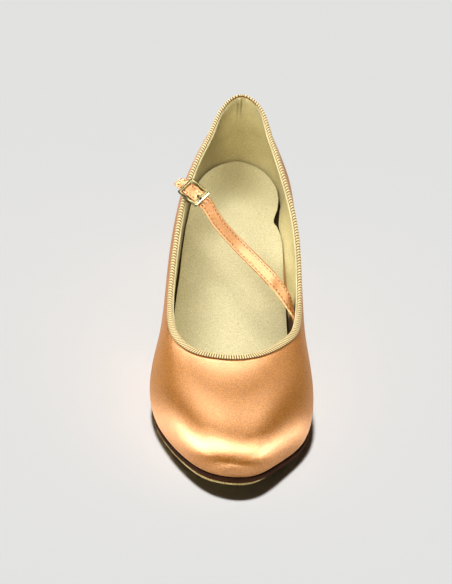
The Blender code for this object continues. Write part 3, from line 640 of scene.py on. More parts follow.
# Where no ribs show, the tape takes the grooves' painted shade.
EXPOSED = np.array([0, 0.3, 0.8, 1, 1, 1, 1, 1, 1, 1, 0.9, 0.4, 0, 0, 0, 0, 0])
loops, normals = tape_loops(RIM_LINES, TAPE_SECTION)
along = np.roll(loops, -1, 1) - np.roll(loops, 1, 1)
round_section = np.roll(loops, -1, 0) - np.roll(loops, 1, 0)
out_of_tape = unit(np.cross(along, round_section))
if np.sum(out_of_tape[4] * normals[4]) < 0:
    out_of_tape = -out_of_tape
section_run = run_along(TAPE_SECTION)
rim_step = np.roll(loops[6], -1, 0) - loops[6]
rim_run = np.linalg.norm(rim_step, axis=1)
lengthwise = np.abs(rim_step[:, 1]) / rim_run
sideways = np.clip(1.4 * lengthwise - 0.4, 0, 1)      # 0 at the toe and heel, 1 at the sides
wide_pitch = np.interp(loops[6][:, 1], (-0.04, BACK_FROM), (SIDE_PITCH, BACK_PITCH))
pitch = CLOSE_PITCH + (wide_pitch - CLOSE_PITCH) * sideways
turns = np.cumsum(rim_run / pitch)
turns *= np.round(turns[-1]) / turns[-1]
side_sign = np.where(np.arange(RIM_COLUMNS) < RIM_COLUMNS // 2, 1.0, -1.0)
slant = side_sign * sideways * RIB_SLANT / wide_pitch
rib = 0.5 + 0.5 * np.cos(2 * pi * (turns + slant * section_run[:, None]))
rib = rib * EXPOSED[:, None]
tape = loops + out_of_tape * (rib * RIB_HEIGHT)[:, :, None]
binding = piece_from("topline_tape", tape, net(len(tape), RIM_COLUMNS, close_rows=True),
                     gold_tape, {"rib": np.clip(PALE_GAIN * rib - PALE_FROM, 0, 1)})
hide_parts("topline_binding")
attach(binding, "root")

facing_cloth, *_ = grained(
    "facing_cloth", light=(0.68, 0.62, 0.38), dark=(0.48, 0.41, 0.21), grain_per_m=1500.0,
    cloud_per_m=160.0, contrast=0.8, cloudiness=0.6, bump=(0.3, 0.00015), roughness=0.6,
    specular_ior_level=0.35, sheen_weight=0.1)
FACING_SECTION = np.array([
    (-1.12, 0.1), (-1.12, -0.28), (-1.30, -0.50), (-1.62, -0.55), (-1.95, -0.38),
    (-2.18, 0.0), (-2.26, 0.8), (-2.28, 1.8), (-2.26, 2.8), (-2.12, 3.1), (-1.75, 3.0),
    (-1.66, 2.0), (-1.66, 0.6), (-1.5, 0.1),
]) * MM
loops, normals = tape_loops(wall(32, points=61), FACING_SECTION)
# Round the back the facing lies closer to the tape and lower.
OUT_AT_BACK, DOWN_AT_BACK, CLOSER_FROM, CLOSER_OVER = 0.00105, 0.0012, 0.080, 0.025
at_back = ramp(loops[0][:, 1], CLOSER_FROM, CLOSER_OVER)[None, :, None]
loops = loops + normals * OUT_AT_BACK * at_back - UP * DOWN_AT_BACK * at_back
facing = piece_from("topline_facing", loops,
                    net(*loops.shape[:2], close_rows=True), facing_cloth)
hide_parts("topline_binding")
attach(facing, "root")

# ---------------------------------------------------------------------------------------
# Insole and sock: a board inside the wall, and on it a padded sock of pale grained leather
# cut clear of the wall, with a notch at the inner waist.

GAP = 0.0003
INSOLE = 0.0030
FOOT_LOOP = WALL_LINES[0][-1] - SHIFT
FOOT_OUT = loop_normals(FOOT_LOOP)
FOOT_STATION = FOOT_LOOP[:, 1]
HALF = COLUMNS // 2
PAIRS = [(k, COLUMNS - k) for k in range(1, HALF)]


def slope_factor(station):
    """Vertical depth taken by one unit of thickness where the underside slopes."""
    step = 0.0005
    slope = (lift(station + step) - lift(station - step)) / (2 * step)
    return np.sqrt(1 + slope ** 2)


def under(outline, depth):
    """Points below the foot of the wall by a thickness measured square to the sole."""
    station = outline[:, 1]
    height = FOOT_BASE + lift(station) - depth * slope_factor(station)
    return np.stack([outline[:, 0], station, height], 1) + SHIFT


def shrunk(inset):
    """The foot line moved in by inset, a number or one for each point."""
    return FOOT_LOOP - FOOT_OUT * np.broadcast_to(inset, COLUMNS)[:, None]


def stacked(levels, count, caps):
    """Faces of a stack of rings of count points, closed at both ends by the same caps."""
    last = (levels - 1) * count
    caps = [list(dict.fromkeys(cap)) for cap in caps]
    return (net(levels, count).tolist() + [cap[::-1] for cap in caps]
            + [[p + last for p in cap] for cap in caps])


def capped(loops):
    """Faces of a stack of loops round the foot, closed at both ends by facing pairs."""
    spine = [(0, 0)] + PAIRS + [(HALF, HALF)]
    return stacked(len(loops), COLUMNS,
                   [(a, b, d, c) for (a, b), (c, d) in zip(spine, spine[1:])])


# The board's near black colour is painted shade, the shade seen in the gap beside the sock.
insole_fibre, *_ = grained(
    "insole_fibre", light=(0.075, 0.045, 0.018), dark=(0.02, 0.012, 0.005),
    grain_per_m=1200.0, cloud_per_m=100.0, contrast=1.0, cloudiness=0.5, bump=(0.4, 0.0003),
    marked="tan_stretch", paint=(0.50, 0.31, 0.145), roughness=0.9, specular_ior_level=0.2)

# Up the board's edge: how far further in, and how high. The board is painted near black as
# the shade in the gap beside the sock; a stretch of its inner side is painted tan instead:
# where it starts and ends in mm, and how far it takes to fade at each.
INSOLE_IN = WALL - 0.0002
INSOLE_EDGE = [(0.0004, 0.0), (0.0, 0.0003), (0.0, 0.0016), (0.0005, 0.0020)]
insole_loops = np.array([under(shrunk(INSOLE_IN + more), -up) for more, up in INSOLE_EDGE])
TAN_FROM, TAN_TO = (132, 4), (166, -8)
tan_stretch = (ramp(FOOT_STATION / MM, *TAN_FROM) * ramp(FOOT_STATION / MM, *TAN_TO)
             * (np.arange(COLUMNS) > HALF))
insole = piece_from("insole_board", insole_loops, capped(insole_loops), insole_fibre,
                    {"tan_stretch": np.broadcast_to(tan_stretch, insole_loops.shape[:2])})
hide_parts("insole")
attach(insole, "root")

# How far the sock stays inside the foot line: station, outer side, inner side, in mm.
SOCK_INSET = np.array([
    (0, 2.6, 2.6), (60, 2.6, 2.6), (110, 2.6, 2.6), (122, 2.6, 2.7), (134, 2.6, 2.8),
    (146, 2.8, 3.4), (155, 2.4, 3.2), (163, 2.2, 3.2), (168, 2.1, 4.2), (171.8, 2.1, 5.6),
    (174.5, 2.1, 7.6), (177, 2.1, 7.0), (183, 2.1, 4.6), (191, 2.1, 3.0), (200, 2.1, 2.2),
    (232, 2.0, 2.0),
])
sock_at, outer_inset, inner_inset = SOCK_INSET.T
sock_inset = np.where(np.arange(COLUMNS) <= HALF,
                      np.interp(FOOT_STATION / MM, sock_at, outer_inset),
                      np.interp(FOOT_STATION / MM, sock_at, inner_inset))
sock_outline = shrunk(sock_inset * MM)
SOCK_ACROSS = 40
SOCK_THICK, SOCK_ROUNDING, ROUND_FROM, ROUND_OVER = 0.0010, 0.00045, 0.97, 0.03
CURL, SEAT_CURL, SEAT_CURL_FROM, SEAT_CURL_OVER = 0.0004, 0.0030, 0.150, 0.05
BACK_CURL_FROM, BACK_CURL_OVER = 0.203, 0.024


def dish(station, away):
    """How far the sock curls up towards its edge; away runs from -1 to 1 across it."""
    seat = ramp(station, SEAT_CURL_FROM, SEAT_CURL_OVER)
    rim = np.maximum(np.abs(away) ** 4, ramp(station, BACK_CURL_FROM, BACK_CURL_OVER) ** 3)
    return (CURL + SEAT_CURL * seat) * rim


sock_leather, tree, shader = grained(
    "sock_leather", light=(0.80, 0.745, 0.495), dark=(0.555, 0.50, 0.30), grain_per_m=1900.0,
    cloud_per_m=30.0, contrast=1.1, cloudiness=0.35, bump=(0.35, 0.0002), roughness=0.62,
    specular_ior_level=0.35, sheen_weight=0.08)
# Pores: small brown specks strewn over the leather.
place = shade(tree, "TexCoord").outputs["Object"]
pores = shade(tree, "TexVoronoi", {"Vector": place, "Scale": 170.0, "Randomness": 1.0})
pore = shade(tree, "MapRange", {"Value": pores.outputs["Distance"], "From Min": 0.035,
                                "From Max": 0.06, "To Min": 0.75, "To Max": 0.0})
leather = shader.inputs["Base Color"].links[0].from_socket
specked = painted_over(tree, leather, pore.outputs["Result"], (0.22, 0.13, 0.04))
tree.links.new(specked, shader.inputs["Base Color"])

pairs = [p for p in PAIRS if p[0] % 2 == 1]
away = np.linspace(-1, 1, SOCK_ACROSS)
left = sock_outline[[a for a, _ in pairs]]
right = sock_outline[[b for _, b in pairs]]
share = (away + 1) / 2
plan = left[:, None] * (1 - share)[None, :, None] + right[:, None] * share[None, :, None]
station = plan[:, :, 1]
rounding = SOCK_ROUNDING * ramp(np.abs(away), ROUND_FROM, ROUND_OVER) ** 2
top = plan.copy()
top[:, :, 2] = (FOOT_BASE + lift(station) + INSOLE * slope_factor(station)
                + dish(station, away[None]) - rounding[None])
UNDER_ROUNDED_MORE = 1.6
bottom = top.copy()
bottom[:, :, 2] -= SOCK_THICK - UNDER_ROUNDED_MORE * rounding[None]


def slab(top, bottom):
    """Points and faces of a closed sheet between two nets of points."""
    rows, columns = top.shape[:2]
    rings = np.concatenate([top, bottom[:, ::-1]], 1)
    end = 2 * columns - 1
    caps = [(c, c + 1, end - c - 1, end - c) for c in range(columns - 1)]
    return rings.reshape(-1, 3), stacked(rows, 2 * columns, caps)


points, faces = slab(top + SHIFT, bottom + SHIFT)
sock = piece_from("sock", points, faces, sock_leather)
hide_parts("insole")
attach(sock, "root")

# ---------------------------------------------------------------------------------------
# Sole: a dark leatherboard under the whole foot, its edge stained and lightly layered, and
# a napped suede outsole under it from the toe to the front of the heel.

BOARD_FOREPART, BOARD_SEAT = 0.0026, 0.0014
OUTSOLE_FOREPART, OUTSOLE_SHANK = 0.0014, 0.0012
BIG_TOE_FROM = 0.010


def share_of_seat(station):
    """0 at the forepart, 1 at the heel seat."""
    u = ramp(station, TREAD_END, BREAST - TREAD_END)
    return u * u * (3 - 2 * u)


def sole_inset(forepart, seat, big_toe):
    """Inset of a sole edge: forepart to seat, and more of it along the big toe."""
    toe_side = (ramp(FOOT_LOOP[:, 0], BIG_TOE_FROM, BIG_TOE_FROM)
                * ramp(FOOT_STATION, TREAD_END, TREAD_START - TREAD_END))
    return forepart + (seat - forepart) * share_of_seat(FOOT_STATION) + big_toe * toe_side


def board_depth(station):
    """Thickness of the sole board, thinner under the heel."""
    return BOARD_FOREPART + (BOARD_SEAT - BOARD_FOREPART) * share_of_seat(station)


stained_board, *_ = grained(
    "stained_leatherboard", light=(0.045, 0.015, 0.006), dark=(0.008, 0.003, 0.001),
    grain_per_m=1500.0, cloud_per_m=120.0, contrast=1.0, cloudiness=0.8, bump=(0.5, 0.0003),
    marked="layer", paint=(0.085, 0.030, 0.011), roughness=0.7, specular_ior_level=0.15)

# Steps down the board's edge: share of the depth, how far in, and how pale the layer is.
BOARD_EDGE = [(0.0, 0.00035, 0.0), (0.08, 0.0001, 0.0), (0.25, 0.0, 0.1), (0.42, 0.0, 0.5),
              (0.5, 0.00015, 0.0), (0.58, 0.0, 0.7), (0.75, 0.0, 0.3), (0.92, 0.0001, 0.0),
              (1.0, 0.00035, 0.0)]
inset = sole_inset(forepart=-0.0003, seat=0.0009, big_toe=-0.0007)
depth = board_depth(shrunk(inset)[:, 1])
board_loops = np.array([under(shrunk(inset + more), GAP + s * depth)
                        for s, more, _ in BOARD_EDGE])
layer = np.repeat([pale for _, _, pale in BOARD_EDGE], COLUMNS)
board = piece_from("sole_board_stained", board_loops, capped(board_loops), stained_board,
                   {"layer": layer})
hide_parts("sole_board")
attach(board, "root")

suede_nap, *_ = grained(
    "suede_nap", light=(0.66, 0.53, 0.25), dark=(0.26, 0.17, 0.05), grain_per_m=1700.0,
    cloud_per_m=150.0, contrast=1.2, cloudiness=0.6, bump=(0.8, 0.0004), roughness=0.95,
    specular_ior_level=0.1, sheen_weight=0.3)

# Down the suede's edge: share of its thickness, and how far in. The cut is a little ragged.
SUEDE_EDGE = [(0.0, 0.0003), (0.1, 0.0), (0.4, -0.0001), (0.7, 0.0), (0.92, 0.0001),
              (1.0, 0.0004)]
RAGGED = 0.00020
random = np.random.default_rng(7)
ragged = np.convolve(random.normal(0, 1, COLUMNS + 4), np.ones(3) / 3, "valid")[:COLUMNS]
inset = sole_inset(forepart=0.0004, seat=0.0026, big_toe=0.0006) + RAGGED * ragged
outline = shrunk(inset)
kept = [k for k in range(COLUMNS) if outline[k, 1] < BREAST - GAP]
order = [k for k in kept if k > HALF] + [k for k in kept if k <= HALF]
station = outline[:, 1]
thick = OUTSOLE_FOREPART + (OUTSOLE_SHANK - OUTSOLE_FOREPART) * share_of_seat(station)
start = 2 * GAP + board_depth(station)
suede_loops = np.array([under(shrunk(inset + more), start + s * thick)[order]
                        for s, more in SUEDE_EDGE])
count = len(order)
faces = stacked(len(suede_loops), count, [(a, a + 1, count - 2 - a, count - 1 - a)
                                          for a in range((count - 1) // 2)])
outsole = piece_from("suede_sole", suede_loops, faces, suede_nap)
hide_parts("suede_outsole")
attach(outsole, "root")

# ---------------------------------------------------------------------------------------
# Heel: a block of wood or plastic covered in the same satin, drawn tight round it and
# tucked in at the breast, and a plain dark top piece nailed on below.

HEEL_TIP = 0.005
HEEL_FRONT_POINTS = 20
HEEL_LEVELS = 40
BEHIND_BREAST = 0.001
# Drop (share of the height), half width, front and back stations, hollow of the front, mm.
HEEL_ROWS = np.array([
    (0.00, 25.6, 180.8, 228.0, 0.0), (0.08, 25.0, 182.2, 228.2, 0.6),
    (0.20, 22.6, 186.0, 227.6, 1.6), (0.36, 18.6, 191.5, 226.4, 2.4),
    (0.54, 14.8, 196.3, 225.0, 2.4), (0.72, 12.6, 199.0, 224.0, 2.0),
    (0.88, 12.2, 199.3, 223.8, 1.4), (1.00, 12.8, 198.5, 224.3, 1.0),
])
outline = shrunk(sole_inset(forepart=0.0002, seat=0.0009, big_toe=0.0))
station = outline[:, 1]
rows = [k for k in range(HALF + 1) if station[k] > BREAST + BEHIND_BREAST]
outer = [outline[k] for k in rows]
inner_side = [outline[(COLUMNS - k) % COLUMNS] for k in rows[:-1]]
seat_reach = max(p[1] for p in outer) - BREAST
wide = max(abs(p[0]) for p in outer + inner_side)
shape = [(p[0] / wide, (p[1] - BREAST) / seat_reach) for p in outer + inner_side[::-1]]
first_x, last_x = shape[0][0], shape[-1][0]
front_edge = [(last_x + (first_x - last_x) * j / HEEL_FRONT_POINTS, 0.0)
              for j in range(1, HEEL_FRONT_POINTS)]
shape = np.array(shape + front_edge)
seat = BREAST + np.clip(shape[:, 1], 0, None) * seat_reach
heel_top = (FOOT_BASE + lift(seat)
            - (2 * GAP + board_depth(seat)) * slope_factor(seat))


def eased(rows, x, at):
    """Rows of any dimension, placed at x, read along a smooth curve through them."""
    slope = np.gradient(rows, x, axis=0)
    k = np.clip(np.searchsorted(x, at) - 1, 0, len(x) - 2)
    span = (x[k + 1] - x[k])[:, None]
    u = (at - x[k])[:, None] / span
    return ((2 * u ** 3 - 3 * u ** 2 + 1) * rows[k]
            + (u ** 3 - 2 * u ** 2 + u) * span * slope[k]
            + (3 * u ** 2 - 2 * u ** 3) * rows[k + 1]
            + (u ** 3 - u ** 2) * span * slope[k + 1])


rings = []
drops = np.linspace(0, 1, HEEL_LEVELS)
a, b = shape.T
for drop, row in zip(drops, eased(HEEL_ROWS[:, 1:], HEEL_ROWS[:, 0], drops) * MM):
    half_width, front, back, hollow = row
    scoop = hollow * np.clip(1 - a * a, 0, None) * np.clip(1 - 2 * b, 0, None)
    rings.append(np.stack([a * half_width, front + b * (back - front) + scoop,
                           heel_top + drop * (HEEL_TIP + GAP - heel_top)], 1))
rings = np.array(rings) + SHIFT
count = rings.shape[1]
outer_count = len(outer) + len(inner_side)


def heel_faces(levels):
    """Faces of a stack of heel rings, closed by strips between facing points."""
    back_at = len(rows) - 1
    pairs = [(k, 2 * back_at - k) for k in range(back_at + 1)]
    front = [(*pairs[0], *range(outer_count, count))]
    return stacked(levels, count,
                   front + [(a, c, d, b) for (a, b), (c, d) in zip(pairs, pairs[1:])])


side = np.roll(rings, -1, 1) - np.roll(rings, 1, 1)
heel = piece_from("heel_cover", rings, heel_faces(HEEL_LEVELS), PEACH_SATIN,
                  {"weft": unit(side)})
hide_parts("covered_heel")
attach(heel, "root")

tip_plastic, *_ = grained(
    "tip_plastic", light=(0.075, 0.065, 0.055), dark=(0.03, 0.026, 0.022), grain_per_m=700.0,
    cloud_per_m=150.0, contrast=0.8, cloudiness=0.8, bump=(0.3, 0.0002), roughness=0.6,
    specular_ior_level=0.4)
# Height of each ring of the top piece, and its size next to the heel's own foot.
TIP_RINGS = ((HEEL_TIP, 0.985), (HEEL_TIP - 0.0002, 1.0), (0.0004, 1.0), (0.0, 0.97))
centre = rings[-1].mean(0)
tip_rings = []
for height, grow in TIP_RINGS:
    ring = centre + (rings[-1] - centre) * grow
    ring[:, 2] = height
    tip_rings.append(ring)
tip = piece_from("top_piece", np.array(tip_rings), heel_faces(len(TIP_RINGS)), tip_plastic)
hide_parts("heel_tip")
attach(tip, "root")

# ---------------------------------------------------------------------------------------
# Instep strap: two layers of satin, edges turned in and stitched in a row along each side.
# It is sewn in behind the tape at the inner topline and runs up to the buckle.

STRAP_HALF_THICK = 0.0006
# Middle line, and the way across as long as the half width, in mm, from tail to root.
STRAP_ROWS = np.array([
    (-33.13, 43.82, 86.52, 1.737, 1.435, 1.297), (-32.86, 43.51, 86.49, 2.138, 1.766, 1.597),
    (-32.16, 42.79, 86.36, 2.405, 1.987, 1.796), (-30.54, 41.19, 85.97, 2.405, 1.987, 1.796),
    (-28.67, 39.49, 85.33, 2.405, 1.987, 1.796), (-26.69, 37.57, 84.81, 2.405, 1.987, 1.796),
    (-25.15, 36.02, 84.46, 2.405, 1.987, 1.796), (-23.34, 34.42, 83.81, 2.405, 1.987, 1.796),
    (-21.61, 33.15, 82.89, 2.405, 1.987, 1.796), (-20.13, 31.98, 82.21, 2.405, 1.987, 1.796),
    (-18.62, 30.88, 81.41, 2.405, 1.987, 1.796), (-10.84, 22.35, 74.30, 2.405, 1.987, 1.796),
    (-2.60, 14.54, 68.62, 2.404, 1.989, 1.796), (5.39, 7.48, 63.94, 2.399, 2.004, 1.797),
    (12.59, 1.18, 59.92, 2.378, 2.068, 1.798), (18.65, -4.35, 56.31, 2.310, 2.245, 1.797),
    (23.38, -9.10, 52.99, 2.128, 2.617, 1.773), (26.73, -13.03, 49.93, 1.711, 3.225, 1.665),
    (28.80, -16.07, 47.28, 0.988, 3.920, 1.401), (29.74, -17.86, 45.56, 0.316, 4.350, 1.109),
    (31.05, -18.38, 42.31, 0.316, 4.350, 1.109), (32.85, -19.48, 39.00, 0.316, 4.350, 1.109),
    (33.91, -20.78, 35.50, 0.316, 4.350, 1.109),
]) * MM


EDGE_POWER, EDGE_THIN, GROOVE_WIDE = 2.2, 0.12, 0.05


def band(rows, step, half_thick, columns, edge_round, groove_at=None, groove=0.0,
         twist=None):
    """A sheet along rows of middle and way across, with rounded edges: nets and frames.

    Groove is sunk along both sides at a share of the half width; twist is (reach, lean).
    """
    rows_at = run_along(rows[:, :3])
    reach = np.linspace(0, rows_at[-1], max(2, int(round(rows_at[-1] / step)) + 1))
    curve = eased(rows, rows_at, reach)
    middle, way = curve[:, :3], curve[:, 3:6]
    run = np.gradient(middle, axis=0)
    normal = unit(np.cross(run, way))
    if twist is not None:
        lean = np.interp(reach, *twist)[:, None]
        long = np.linalg.norm(way, axis=1, keepdims=True)
        sign = np.sign(normal[len(normal) // 2, 2])
        way = way * np.cos(lean) + normal * sign * long * np.sin(lean)
        normal = unit(np.cross(run, way))
    away = np.sin(np.linspace(-pi / 2, pi / 2, columns))
    edge = np.clip((np.abs(away) - 1 + edge_round) / edge_round, 0, 1)
    thin = half_thick * np.maximum(1 - edge ** EDGE_POWER, EDGE_THIN)
    if groove_at:
        thin = thin - groove * hill(np.abs(away), groove_at, GROOVE_WIDE)
    net_middle = middle[:, None] + way[:, None] * away[None, :, None]
    top = net_middle + normal[:, None] * thin[None, :, None]
    bottom = net_middle - normal[:, None] * thin[None, :, None]
    return top, bottom, middle, way, normal, reach


STITCH_AT = 0.62      # share of the half width
# The strap's roll from its tail to its root: how far along, and its lean in radians.
STRAP_ROLL = ([0.0, 0.004, 0.007, 0.011, 0.017, 0.020, 0.026, 0.048, 0.058, 0.076, 0.081],
              [-0.3, -0.3, 0.0, 0.24, 0.24, 0.0, -0.12, -0.12, 0.20, 0.21, -0.12])
top, bottom, middle, way, normal, reach = band(
    STRAP_ROWS, step=0.0006, half_thick=STRAP_HALF_THICK, columns=25, edge_round=0.16,
    groove_at=STITCH_AT, groove=0.00009, twist=STRAP_ROLL)
if normal[len(normal) // 2, 2] < 0:
    top, bottom, normal = bottom, top, -normal
# Three punched holes, sunk a little and painted near black as their shade.
HOLES, HOLE_RADIUS, HOLE_SUNK = (0.0157, 0.0214, 0.0271), 0.00050, 0.0004
off_middle = np.abs(np.einsum("rcx,rx->rc", top - middle[:, None], unit(way)))
hole = sum(hill((reach[:, None] - at) ** 2 + off_middle ** 2, 0.0, HOLE_RADIUS ** 2)
           for at in HOLES)
top = top - normal[:, None] * (hole * HOLE_SUNK)[:, :, None]
points, faces = slab(top, bottom)
weft = np.repeat(unit(np.gradient(middle, axis=0))[:, None], 2 * top.shape[1], 1)
STRAP_SATIN = satin("strap_satin")
hole = np.concatenate([hole, 0 * hole], 1)
strap = piece_from("strap", points, faces, STRAP_SATIN, {"weft": weft, "hole": hole})
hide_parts("instep_strap")
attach(strap, "root")


# Along a stitch: share of its length, then thickness and height as shares of its radius.
STITCH_RINGS = np.array([(0.0, 0.35, -0.6), (0.12, 0.8, 0.1), (0.35, 1.0, 0.45),
                         (0.65, 1.0, 0.45), (0.88, 0.8, 0.1), (1.0, 0.35, -0.6)])
THREAD_SIDES = 6


def stitch_row(starts, ends, ups, radius):
    """Stitches as small plump threads from starts to ends, lying proud along ups."""
    along = unit(ends - starts)
    side = unit(np.cross(ups, along))
    ups = unit(np.cross(along, side))
    t, swell, hump = STITCH_RINGS.T
    angle = np.arange(THREAD_SIDES) * 2 * pi / THREAD_SIDES
    core = starts[:, None] + (ends - starts)[:, None] * t[None, :, None]
    core = core + ups[:, None] * (hump * radius)[None, :, None]
    ring = (np.cos(angle)[None, None, :, None] * side[:, None, None]
            + np.sin(angle)[None, None, :, None] * ups[:, None, None])
    points = core[:, :, None] + ring * (swell * radius)[None, :, None, None]
    one = stacked(len(t), THREAD_SIDES, [range(THREAD_SIDES)])
    count = len(t) * THREAD_SIDES
    faces = [[p + count * s for p in face] for s in range(len(starts)) for face in one]
    return points.reshape(-1, 3), faces


def along_strap(line, at):
    """Points of a line that runs with the strap, read at distances from its tail."""
    return np.stack([np.interp(at, reach, line[:, i]) for i in range(3)], 1)


strap_thread, *_ = grained(
    "strap_thread", light=(0.20, 0.10, 0.040), dark=(0.07, 0.035, 0.014), grain_per_m=2500.0,
    cloud_per_m=300.0, contrast=1.0, cloudiness=0.5, bump=(0.3, 0.0001), roughness=0.5,
    specular_ior_level=0.5)
STITCH_PITCH, STITCH_LONG, THREAD_RADIUS, THREAD_SUNK = 0.0023, 0.0012, 0.00025, 0.00005
STITCHED_FROM, BARE_AT_ROOT = 0.0022, 0.012
begin = np.arange(STITCHED_FROM, reach[-1] - BARE_AT_ROOT, STITCH_PITCH)
on_top = middle + normal * (STRAP_HALF_THICK - THREAD_SUNK)
seams = [on_top - way * STITCH_AT, on_top + way * STITCH_AT]
starts = np.concatenate([along_strap(seam, begin) for seam in seams])
ends = np.concatenate([along_strap(seam, begin + STITCH_LONG) for seam in seams])
ups = np.tile(along_strap(normal, begin), (2, 1))
points, faces = stitch_row(starts, ends, ups, THREAD_RADIUS)
strap_stitches = piece_from("strap_stitches", points, faces, strap_thread)
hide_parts("instep_strap")
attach(strap_stitches, "root")

# ---------------------------------------------------------------------------------------
# Buckle: a small bowed frame of pale gilt metal with a broad bar on the inner side, its
# prong bent round the crossbar, and the satin tab that holds it to the outer topline.

BUCKLE_CENTRE = np.array([-24.315, 34.57, 84.95]) * MM
ALONG = unit(np.array([0.7231, -0.6401, -0.2600]))
LIFTED = unit(np.cross(ALONG, [0.668, 0.552, 0.499]))
ACROSS = np.cross(LIFTED, ALONG)
# Sizes of the frame, its bars and its crossbar, in mm; near is the bar over the strap.
HALF_LONG, HALF_WIDE, OUTER_CORNER, INNER_CORNER = 7.2, 5.65, 0.9, 0.3
SIDE_BAR, FAR_BAR, NEAR_BAR, BAR_THICK = 1.25, 1.5, 3.0, 1.1
BOW, FLAT_FROM, CROSSBAR, CROSSBAR_INTO_SIDES = 3.15, 4.2, 0.6, 0.4
STOPS, CORNER_STEPS = 16, 6


def at_buckle(along, across, up):
    """Points of the buckle's frame, given in millimetres, in the shoe's frame."""
    along, across, up = (np.asarray(v, float)[..., None] for v in (along, across, up))
    return BUCKLE_CENTRE + (along * ALONG + across * ACROSS + up * LIFTED) * MM


def bow(along):
    """Drop of the side bars from the end bars to the crossbar."""
    return -BOW * np.cos(pi / 2 * np.minimum(1.0, np.abs(along) / FLAT_FROM)) ** 2


def rounded_frame(far, near, side, corner):
    """A rounded rectangle as (along, across)."""
    points = []
    far, near = far + corner, near - corner
    stops = np.linspace(far, near, STOPS + 2)[1:-1]
    for turn, (x, y) in enumerate(((near, side - corner), (far, side - corner),
                                   (far, corner - side), (near, corner - side))):
        for step in range(CORNER_STEPS + 1):
            angle = (turn + step / CORNER_STEPS) * pi / 2
            points.append((x + corner * cos(angle), y + corner * sin(angle)))
        if turn == 0:
            points += [(s, side) for s in stops[::-1]]
        if turn == 2:
            points += [(s, -side) for s in stops]
    return np.array(points)


# Where its mark says, the metal is painted pale gold as a highlight.
gilt_metal, *_ = grained(
    "gilt_metal", light=(0.27, 0.235, 0.125), dark=(0.11, 0.09, 0.04), grain_per_m=900.0,
    cloud_per_m=300.0, contrast=0.5, cloudiness=0.8, bump=(0.1, 0.0001), marked="painted_highlight",
    paint=(0.92, 0.82, 0.56), metallic=1.0, roughness=0.2)

outer_line = rounded_frame(-HALF_LONG, HALF_LONG, HALF_WIDE, OUTER_CORNER)
inner_line = rounded_frame(-HALF_LONG + FAR_BAR, HALF_LONG - NEAR_BAR,
                           HALF_WIDE - SIDE_BAR, INNER_CORNER)
# The frame's top rises to a ridge with a painted highlight, bright on the near bar, less on
# the far one.
RIDGE_AT, RIDGE_WIDE, TOP_BOW = 0.80, 0.13, 0.35
NEAR_BRIGHT_FROM, FAR_BRIGHT_FROM, FAR_BRIGHT = 3.6, 5.6, 0.4
TOP_SHARES, UNDER_SHARES = (0.0, 0.06, 0.3, 0.55, 0.68, 0.80, 0.92, 1.0), (0.97, 0.03)
loops, painted_highlight = [], []
for share in TOP_SHARES:
    line = inner_line + (outer_line - inner_line) * share
    ridge = float(hill(share, RIDGE_AT, RIDGE_WIDE))
    up = BAR_THICK / 2 * (0.25 * min(1.0, share / TOP_SHARES[1]) + 0.75 * ridge)
    loops.append(at_buckle(line[:, 0], line[:, 1], up + TOP_BOW / BOW * bow(line[:, 0])))
    near = np.clip(line[:, 0] - NEAR_BRIGHT_FROM, 0, 1)
    far = FAR_BRIGHT * np.clip(-line[:, 0] - FAR_BRIGHT_FROM, 0, 1)
    painted_highlight.append(ridge ** 2 * (0.15 + 0.85 * np.maximum(near, far)))
for share in UNDER_SHARES:
    line = inner_line + (outer_line - inner_line) * share
    loops.append(at_buckle(line[:, 0], line[:, 1], -BAR_THICK / 2 + bow(line[:, 0])))
    painted_highlight.append(np.zeros(len(line)))
loops = np.array(loops)
frame_points = loops.reshape(-1, 3)
frame_faces = net(len(loops), len(outer_line), close_rows=True).tolist()
BAR_RINGS, BAR_SIDES = 9, 12
bar_half = HALF_WIDE - SIDE_BAR + CROSSBAR_INTO_SIDES
bar = np.linspace(-1, 1, BAR_RINGS)[:, None] * bar_half
angle = np.arange(BAR_SIDES)[None] * 2 * pi / BAR_SIDES
bar_rings = at_buckle(CROSSBAR * np.cos(angle) + 0 * bar, bar + 0 * angle,
                      -BOW + BAR_THICK / 2 * np.sin(angle) + 0 * bar)
bar_faces = [[p + len(frame_points) for p in face]
             for face in stacked(BAR_RINGS, BAR_SIDES, [range(BAR_SIDES)])]
painted_highlight = np.concatenate([*painted_highlight, np.zeros(BAR_RINGS * BAR_SIDES)])
buckle = piece_from("buckle", np.concatenate([frame_points, bar_rings.reshape(-1, 3)]),
                    frame_faces + bar_faces, gilt_metal, {"painted_highlight": painted_highlight})
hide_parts("buckle_frame")
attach(buckle, "root")

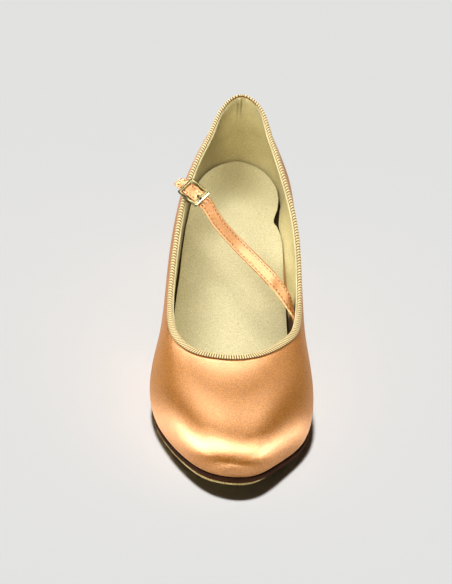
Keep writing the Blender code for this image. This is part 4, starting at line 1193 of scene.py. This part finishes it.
# Middle of the prong, in mm along and up from the buckle's centre, round the crossbar and
# out over the near bar.
PRONG_HALF_WIDE = 0.6
PRONG_LINE = [
    (0.45, -2.2), (-0.75, -2.2), (-1.1, -2.55), (-1.1, -3.65), (-0.75, -4.0), (0.75, -4.0),
    (1.1, -3.65), (1.15, -2.8), (1.45, -2.35), (2.0, -1.75), (3.0, -0.3), (3.8, 0.85),
    (4.4, 1.15), (5.6, 1.15),
]
prong_rows = np.array([[*at_buckle(along, 0.0, up), *(ACROSS * PRONG_HALF_WIDE * MM)]
                       for along, up in PRONG_LINE])
top, bottom, *_ = band(prong_rows, step=0.00015, half_thick=0.00025, columns=9,
                       edge_round=0.4)
points, faces = slab(top, bottom)
prong = piece_from("prong", points, faces, gilt_metal)
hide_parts("buckle_prong")
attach(prong, "root")

# Middle line and way across, in mm, from its sewn end inside the wall round the crossbar.
TAB_ROWS = np.array([
    (-29.04, 43.39, 75.57, 0.58, 2.462, 1.613), (-28.14, 41.60, 78.12, 0.58, 2.462, 1.613),
    (-26.60, 40.12, 79.27, 0.58, 2.462, 1.613), (-25.64, 39.47, 81.91, 0.58, 2.462, 1.613),
    (-25.17, 37.93, 82.58, 1.193, 2.221, 1.626), (-24.83, 36.82, 83.15, 2.004, 1.656, 1.497),
    (-24.51, 36.26, 83.34, 2.004, 1.656, 1.497), (-23.39, 35.27, 82.94, 2.004, 1.656, 1.497),
    (-23.07, 35.23, 82.56, 2.004, 1.656, 1.497), (-22.88, 35.82, 81.65, 2.004, 1.656, 1.497),
    (-23.07, 36.23, 81.45, 2.004, 1.656, 1.497), (-24.05, 37.09, 81.80, 2.004, 1.656, 1.497),
    (-24.31, 37.43, 81.78, 2.004, 1.656, 1.497),
]) * MM
top, bottom, middle, way, *_ = band(TAB_ROWS, step=0.0003, half_thick=0.00025, columns=13,
                                    edge_round=0.2)
points, faces = slab(top, bottom)
weft = np.repeat(unit(way)[:, None], 2 * top.shape[1], 1)
tab = piece_from("tab", points, faces, STRAP_SATIN, {"weft": weft})
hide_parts("buckle_tab")
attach(tab, "root")
